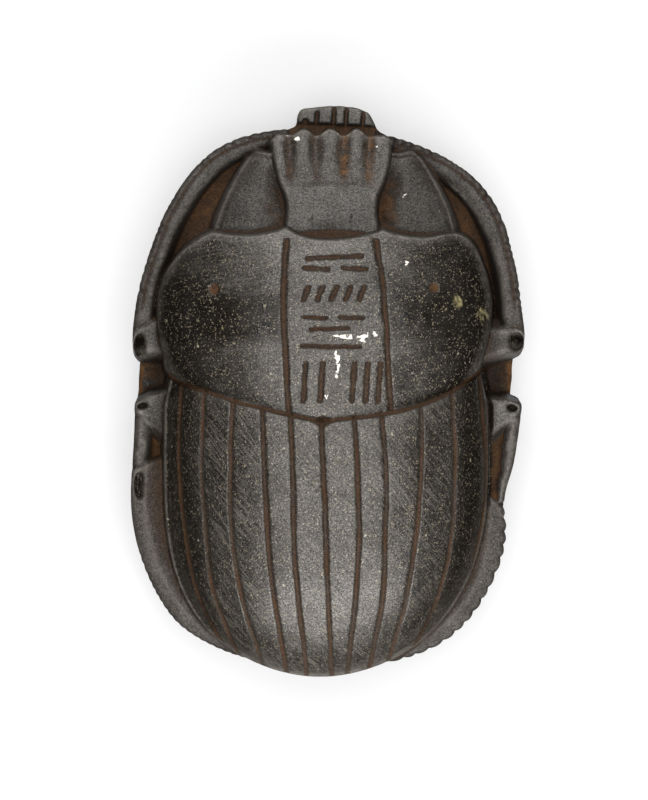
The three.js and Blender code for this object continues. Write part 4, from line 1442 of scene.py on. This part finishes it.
@dataclass(frozen=True)
class ScarabStone:
    """Dark speckled stone, half polished, with brown dirt in its carving."""

    dark: tuple = (0.0026, 0.0022, 0.0018)
    grey: tuple = (0.0045, 0.0039, 0.0032)
    fleck: tuple = (0.0195, 0.0168, 0.0120)
    scored: tuple = (0.050, 0.046, 0.039)
    speckle: tuple = (0.125, 0.110, 0.078)
    crystal: tuple = (0.19, 0.18, 0.135)
    dirt: tuple = (0.030, 0.0170, 0.0098)
    rust: tuple = (0.074, 0.037, 0.0135)
    ochre: tuple = (0.19, 0.17, 0.09)
    # pale tone of worn edges, also laid as painted highlight along lit edges
    wear_and_highlight: tuple = (0.105, 0.098, 0.090)
    pale: tuple = (0.50, 0.49, 0.46)
    roughness: float = 0.42
    grain_warp: float = 0.0007
    # each layer of scratches: bearing in degrees, scale across, scale along, and the noise it starts at
    slanting: tuple = ((-54.0, 4600.0, 170.0, 0.53), (-43.0, 3000.0, 120.0, 0.56))
    level: tuple = ((7.0, 3800.0, 150.0, 0.54), (-66.0, 3800.0, 160.0, 0.60))

    def make(self) -> bpy.types.Material:
        """Wires the stone's colour, dullness, gloss and fine relief.

        Returns:
            The material.
        """
        w = StoneWiring("speckled_stone")
        flecks, scratch = self.flecks(w), self.scratches(w)
        colour = w.blend(w.times(scratch, 0.55), self.bare_stone(w, flecks), self.scored)
        return w.show(
            {
                "Base Color": self.stained(w, colour),
                "Roughness": self.roughness_of(w, scratch, flecks),
                "Specular IOR Level": self.shine(w),
                "Normal": self.relief(w, scratch),
            }
        )

    def flecks(self, w: StoneWiring) -> Socket:
        """Scatters fine mineral flecks, thinned out as painted shade where the stone turns from the light.

        Args:
            w: the material.

        Returns:
            How much of each spot they cover.
        """
        patches = w.step(w.noise(380.0, 2.0, 0.55), 0.34, 0.64, 0.3, 1.0)
        fine = w.times(w.step(w.noise(5200.0, 2.0, 0.6), 0.50, 0.61), patches)
        # fewer flecks where this mask is low: painted shade
        return w.times(fine, w.by(Stain.HATCH_AND_SHADE, 0.35, 1.0))

    def shine(self, w: StoneWiring) -> Socket:
        """Sets how strongly the surface mirrors: fine pits, dirt and the bare polish hardly do.

        Args:
            w: the material.

        Returns:
            The specular level.
        """
        pitted = w.step(w.noise(4600.0, 2.0, 0.65), 0.38, 0.60, 0.26, 0.76)
        clean = w.math("SUBTRACT", 1.0, w.times(w.stains[Stain.DIRT], 0.8), clamp=True)
        polish = w.math("SUBTRACT", w.stains[Stain.BACK], w.stains[Stain.HATCH_AND_SHADE], clamp=True)
        clean = w.times(clean, w.step(polish, 0.0, 1.0, 1.0, 0.36))
        cloud = w.step(w.noise(230.0, 3.0, 0.6), 0.32, 0.66, 0.84, 1.14)
        return w.times(w.times(pitted, w.by(Stain.BACK, 0.80, 1.0)), w.times(clean, cloud))

    def bare_stone(self, w: StoneWiring, flecks: Socket) -> Socket:
        """Colour of the stone itself: two darks, fine flecks, speckles and pale crystals.

        Args:
            w: the material.
            flecks: how much of each spot the flecks cover.

        Returns:
            The colour.
        """
        colour = w.blend(w.step(w.noise(420.0, 4.0, 0.6), 0.36, 0.64), self.dark, self.grey)
        colour = w.blend(flecks, colour, self.fleck)
        warp = w.node("ShaderNodeTexNoise", {"Vector": w.place, "Scale": 2200.0, "Detail": 2.0})
        pushes = {0: warp.outputs["Color"], 1: (self.grain_warp,) * 3}
        nudge = w.node("ShaderNodeVectorMath", pushes, operation="MULTIPLY").outputs[0]
        moved = w.node("ShaderNodeVectorMath", {0: w.place, 1: nudge}, operation="ADD").outputs[0]
        for tone, sizes, shares in (
            (self.speckle, (3400.0, 0.14, 0.37), (0.35, 0.9)),
            (self.crystal, (1100.0, 0.93, 0.24), (0.3, 0.8)),
        ):
            share = w.times(self.grains(w, moved, *sizes), w.by(Stain.BACK, *shares))
            colour = w.blend(share, colour, tone)
        return colour

    def grains(self, w: StoneWiring, place: Socket, scale: float, rare: float, size: float) -> Socket:
        """Single grains scattered through the stone.

        Args:
            w: the material.
            place: where it is read.
            scale: how many cells there are to a metre.
            rare: share of the cells that hold no grain.
            size: the largest grain's radius, as a share of its cell.

        Returns:
            1 in a grain and 0 between grains.
        """
        cells = w.node("ShaderNodeTexVoronoi", {"Vector": place, "Scale": scale, "Randomness": 1.0})
        chosen = w.node("ShaderNodeSeparateColor", {"Color": cells.outputs["Color"]})
        reach = w.step(chosen.outputs[1], 0.0, 1.0, 0.35 * size, size)
        grain = w.step(w.math("SUBTRACT", reach, cells.outputs["Distance"]), -0.04, 0.08)
        return w.times(grain, w.step(chosen.outputs[0], rare, rare + 0.04))

    def stained(self, w: StoneWiring, colour: Socket) -> Socket:
        """Lays wear with painted edge highlights, patches, dirt with painted shade at its fringe, and scuffs
        over the stone.

        Args:
            w: the material.
            colour: the bare stone's colour.

        Returns:
            The colour.
        """
        dirt, rag = w.stains[Stain.DIRT], w.noise(1500.0, 3.0, 0.65)
        # worn edges and painted edge highlights are laid in the same pale tone
        colour = w.blend(w.times(w.stains[Stain.WEAR_AND_HIGHLIGHT], w.step(rag, 0.30, 0.62, 0.25, 1.0)), colour, self.wear_and_highlight)
        patch = w.plus(w.stains[Stain.OCHRE], w.times(rag, 1.6))
        colour = w.blend(w.step(patch, 1.25, 2.0), colour, self.ochre)
        fine = w.step(w.noise(4200.0, 2.0, 0.6), 0.35, 0.7)
        tone = w.blend(fine, shaded(self.dirt, 1.35), shaded(self.dirt, 0.5))
        # painted shade: where the dirt thins out at a groove's sides its brown is darker, for the shaded
        # walls
        tone = w.blend(w.step(dirt, 0.55, 0.92), shaded(self.dirt, 0.35), tone)
        colour = w.blend(w.times(dirt, w.step(rag, 0.2, 0.55, 0.72, 1.0)), colour, tone)
        orange = w.times(w.stains[Stain.RUST], w.step(w.noise(1100.0, 5.0, 0.75), 0.38, 0.60))
        colour = w.blend(orange, colour, self.rust)
        shred = w.math("SUBTRACT", w.plus(w.stains[Stain.PALE], rag), 1.05)
        return w.blend(w.step(shred, 0.0, 0.12), colour, self.pale)

    def scratches(self, w: StoneWiring) -> Socket:
        """Draws fine scratches: slanting on the wing cases, nearly level on the shield.

        Args:
            w: the material.

        Returns:
            1 in a scratch and 0 between scratches.
        """
        along = w.node("ShaderNodeSeparateXYZ", {"Vector": w.place}).outputs["Y"]
        rear = w.step(along, 0.004, -0.006)
        slanting = w.times(self.scratch_layers(w, self.slanting), rear)
        level = w.times(self.scratch_layers(w, self.level), w.math("SUBTRACT", 1.0, rear))
        patchy = w.step(w.noise(110.0, 2.0, 0.5), 0.32, 0.60, 0.25, 1.0)
        both = w.times(w.plus(slanting, w.times(level, 0.7)), patchy)
        # fewer pale scratches where this mask is low: painted shade
        return w.times(both, w.by(Stain.HATCH_AND_SHADE, 0.1, 1.0))

    def scratch_layers(self, w: StoneWiring, layers: tuple) -> Socket:
        """Draws long thin noise across the stone at two bearings.

        Args:
            w: the material.
            layers: bearing, scale across, scale along and start of each of the two.

        Returns:
            1 in a scratch and 0 between scratches.
        """
        streaks = []
        for turn, across, along, start in layers:
            sizes = {
                "Vector": w.place,
                "Rotation": (0, 0, math.radians(turn)),
                "Scale": (1 / along, 1 / across, 1 / 300),
            }
            turned = w.node("ShaderNodeMapping", sizes, vector_type="TEXTURE").outputs["Vector"]
            streaks.append(w.step(w.noise(1.0, 2.0, 0.6, turned), start, start + 0.10))
        return w.math("MAXIMUM", *streaks)

    def roughness_of(self, w: StoneWiring, scratch: Socket, flecks: Socket) -> Socket:
        """Dullness of the surface: dirt is dull, the worn back is half polished.

        Args:
            w: the material.
            scratch: where the scratches are.
            flecks: how much of each spot the flecks cover.

        Returns:
            The roughness.
        """
        cloud = w.noise(420.0, 3.0, 0.6)
        rough = w.step(cloud, 0.3, 0.7, self.roughness - 0.05, self.roughness + 0.06)
        dull = w.plus(w.stains[Stain.DIRT], w.times(w.stains[Stain.WEAR_AND_HIGHLIGHT], 0.5))
        for more in (
            w.times(scratch, 0.10),
            w.times(flecks, 0.10),
            w.by(Stain.BACK, 0.20, 0.0),
            w.by(Stain.HATCH_AND_SHADE, -0.14, 0.0),
        ):
            rough = w.plus(rough, more)
        return w.math("ADD", rough, w.times(dull, 0.42), clamp=True)

    def relief(self, w: StoneWiring, scratch: Socket) -> Socket:
        """Fine grain, tool marks and scratches.

        Args:
            w: the material.
            scratch: where the scratches are.

        Returns:
            The normal.
        """
        height = w.plus(w.times(w.noise(3800.0, 3.0, 0.65), 0.022), w.times(w.noise(620.0, 2.0, 0.5), 0.05))
        height = w.math("SUBTRACT", height, w.times(scratch, 0.019))
        crumbs = w.times(w.stains[Stain.DIRT], w.noise(5200.0, 2.0, 0.6))
        height = w.plus(height, w.times(crumbs, 0.05))
        return w.node("ShaderNodeBump", {"Height": height, "Strength": 1.0, "Distance": MM}).outputs["Normal"]


@dataclass(frozen=True)
class MattSheet:
    """Matt plain sheet that mirrors nothing and may glow faintly."""

    name: str
    colour: tuple
    roughness: float
    glow: float = 0.0

    def make(self) -> bpy.types.Material:
        """Wires the sheet.

        Returns:
            The material.
        """
        return Wiring(self.name).show(
            {
                "Base Color": (*self.colour, 1.0),
                "Roughness": self.roughness,
                "Specular IOR Level": 0.0,
                "Emission Color": (1.0, 1.0, 1.0, 1.0),
                "Emission Strength": self.glow,
            }
        )


# ------------------------------------------------------------------ the studio
@dataclass(frozen=True)
class SoftLight:
    """One rectangular soft light aimed at the stone, placed by its lean from overhead and its bearing."""

    name: str
    lean: float
    bearing: float
    width: float
    length: float
    watts: float
    distance: float = 1.0
    colour: tuple = (1.0, 0.955, 0.915)

    def hang(self) -> None:
        """Hangs the light, out of the camera's sight and aimed at the stone."""
        lamp = bpy.data.lights.new(self.name, "AREA")
        lamp.shape = "RECTANGLE"
        lamp.size, lamp.size_y = self.width, self.length
        lamp.energy = self.watts
        lamp.color = self.colour
        lamp.cycles.use_multiple_importance_sampling = False
        thing = bpy.data.objects.new(self.name, lamp)
        lean, bearing = math.radians(self.lean), math.radians(self.bearing)
        across, height = self.distance * math.sin(lean), self.distance * math.cos(lean)
        thing.location = (across * math.cos(bearing), across * math.sin(bearing), height)
        thing.rotation_euler = (lean, 0.0, bearing + math.pi / 2)
        thing.visible_camera = False
        bpy.context.scene.collection.objects.link(thing)


@dataclass
class Studio:
    """Floor, soft lights, a dark card that keeps the stone's sides dark, and the camera."""

    camera_height: float = 0.450
    lens: float = 141.2
    camera_x: float = -0.558
    camera_y: float = -1.187
    floor_size: float = 4.0
    floor_level: float = -0.00002
    card_reach: float = 0.22
    card_gap: float = 0.0012
    card_level: float = 0.0004
    card_power: float = 2.5
    card_corners: int = 96
    surround: float = 0.06
    floor_finish: MattSheet = MattSheet("pale_floor", (0.250, 0.262, 0.274), 0.8, 0.40)
    card_finish: MattSheet = MattSheet("dark_card", (0.01, 0.01, 0.01), 1.0)
    lights: tuple = (
        SoftLight("over_light", 0.0, -90.0, 1.40, 1.50, 29.0),
        SoftLight("head_light", 66.0, 92.0, 0.60, 0.50, 9.0),
        SoftLight("tail_light", 65.0, 280.0, 1.50, 0.72, 29.0),
    )

    def build(self, shift: Grid) -> None:
        """Sets up the studio.

        Args:
            shift: how far the stone was moved from the carving's own middle, in mm.
        """
        self.lay_floor()
        self.lay_card()
        for light in self.lights:
            light.hang()
        self.set_world()
        self.set_camera(shift)
        view = bpy.context.scene.view_settings
        view.view_transform = "Standard"
        view.look = "None"

    def lay_floor(self) -> None:
        """A wide pale floor under the stone."""
        half = self.floor_size / 2
        corners = ((-half, -half), (half, -half), (half, half), (-half, half))
        points = np.array([(x, y, self.floor_level) for x, y in corners])
        floor = mesh_from("floor", points, np.array([(0, 1, 2, 3)]))
        floor.data.materials.append(self.floor_finish.make())

    def lay_card(self) -> None:
        """A dark card round the stone that the camera doesn't see; it keeps the floor out of its sides."""
        low, high = (np.array(corner)[:2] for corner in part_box("scarab"))
        count, power = self.card_corners, self.card_power
        turn = 2 * np.pi * np.arange(count) / count
        way = np.stack([np.cos(turn), np.sin(turn)], 1)
        bulge = (np.abs(way) ** power).sum(1, keepdims=True) ** (-1 / power)
        inner = (low + high) / 2 + ((high - low) / 2 + self.card_gap) * bulge * way
        points = np.concatenate([inner, self.card_reach * way])
        points = np.column_stack([points, np.full(2 * count, self.card_level)])
        here, after = np.arange(count), (np.arange(count) + 1) % count
        card = mesh_from("dark_card", points, np.stack([here, after, count + after, count + here], 1))
        card.visible_camera = False
        card.visible_shadow = False
        card.data.materials.append(self.card_finish.make())

    def set_world(self) -> None:
        """A dim even surround."""
        world = bpy.data.worlds.new("surround")
        world.use_nodes = True
        background = world.node_tree.nodes["Background"]
        background.inputs["Color"].default_value = (1.0, 1.0, 1.0, 1.0)
        background.inputs["Strength"].default_value = self.surround
        world.cycles_visibility.diffuse = False
        bpy.context.scene.world = world

    def set_camera(self, shift: Grid) -> None:
        """Looks straight down on the back, head up.

        Args:
            shift: how far the stone was moved, in millimetres.
        """
        lens = bpy.data.cameras.new("camera")
        lens.lens = self.lens
        lens.sensor_width = 36.0
        lens.clip_start = 0.01
        camera = bpy.data.objects.new("camera", lens)
        x, y = (self.camera_x + shift[0]) * MM, (self.camera_y + shift[1]) * MM
        camera.location = (x, y, self.camera_height)
        bpy.context.scene.collection.objects.link(camera)
        bpy.context.scene.camera = camera


def main() -> None:
    """Builds the stone and the studio in order."""
    logging.basicConfig(level=logging.INFO, format="%(message)s")
    stone, shift = CarvedStone().build()
    stone.data.materials.append(ScarabStone().make())
    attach(stone, "root")
    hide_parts("scarab")
    log.info("stone moved by %s mm to its place", np.round(shift, 3))
    Studio().build(shift)


if __name__ == "__main__":
    main()
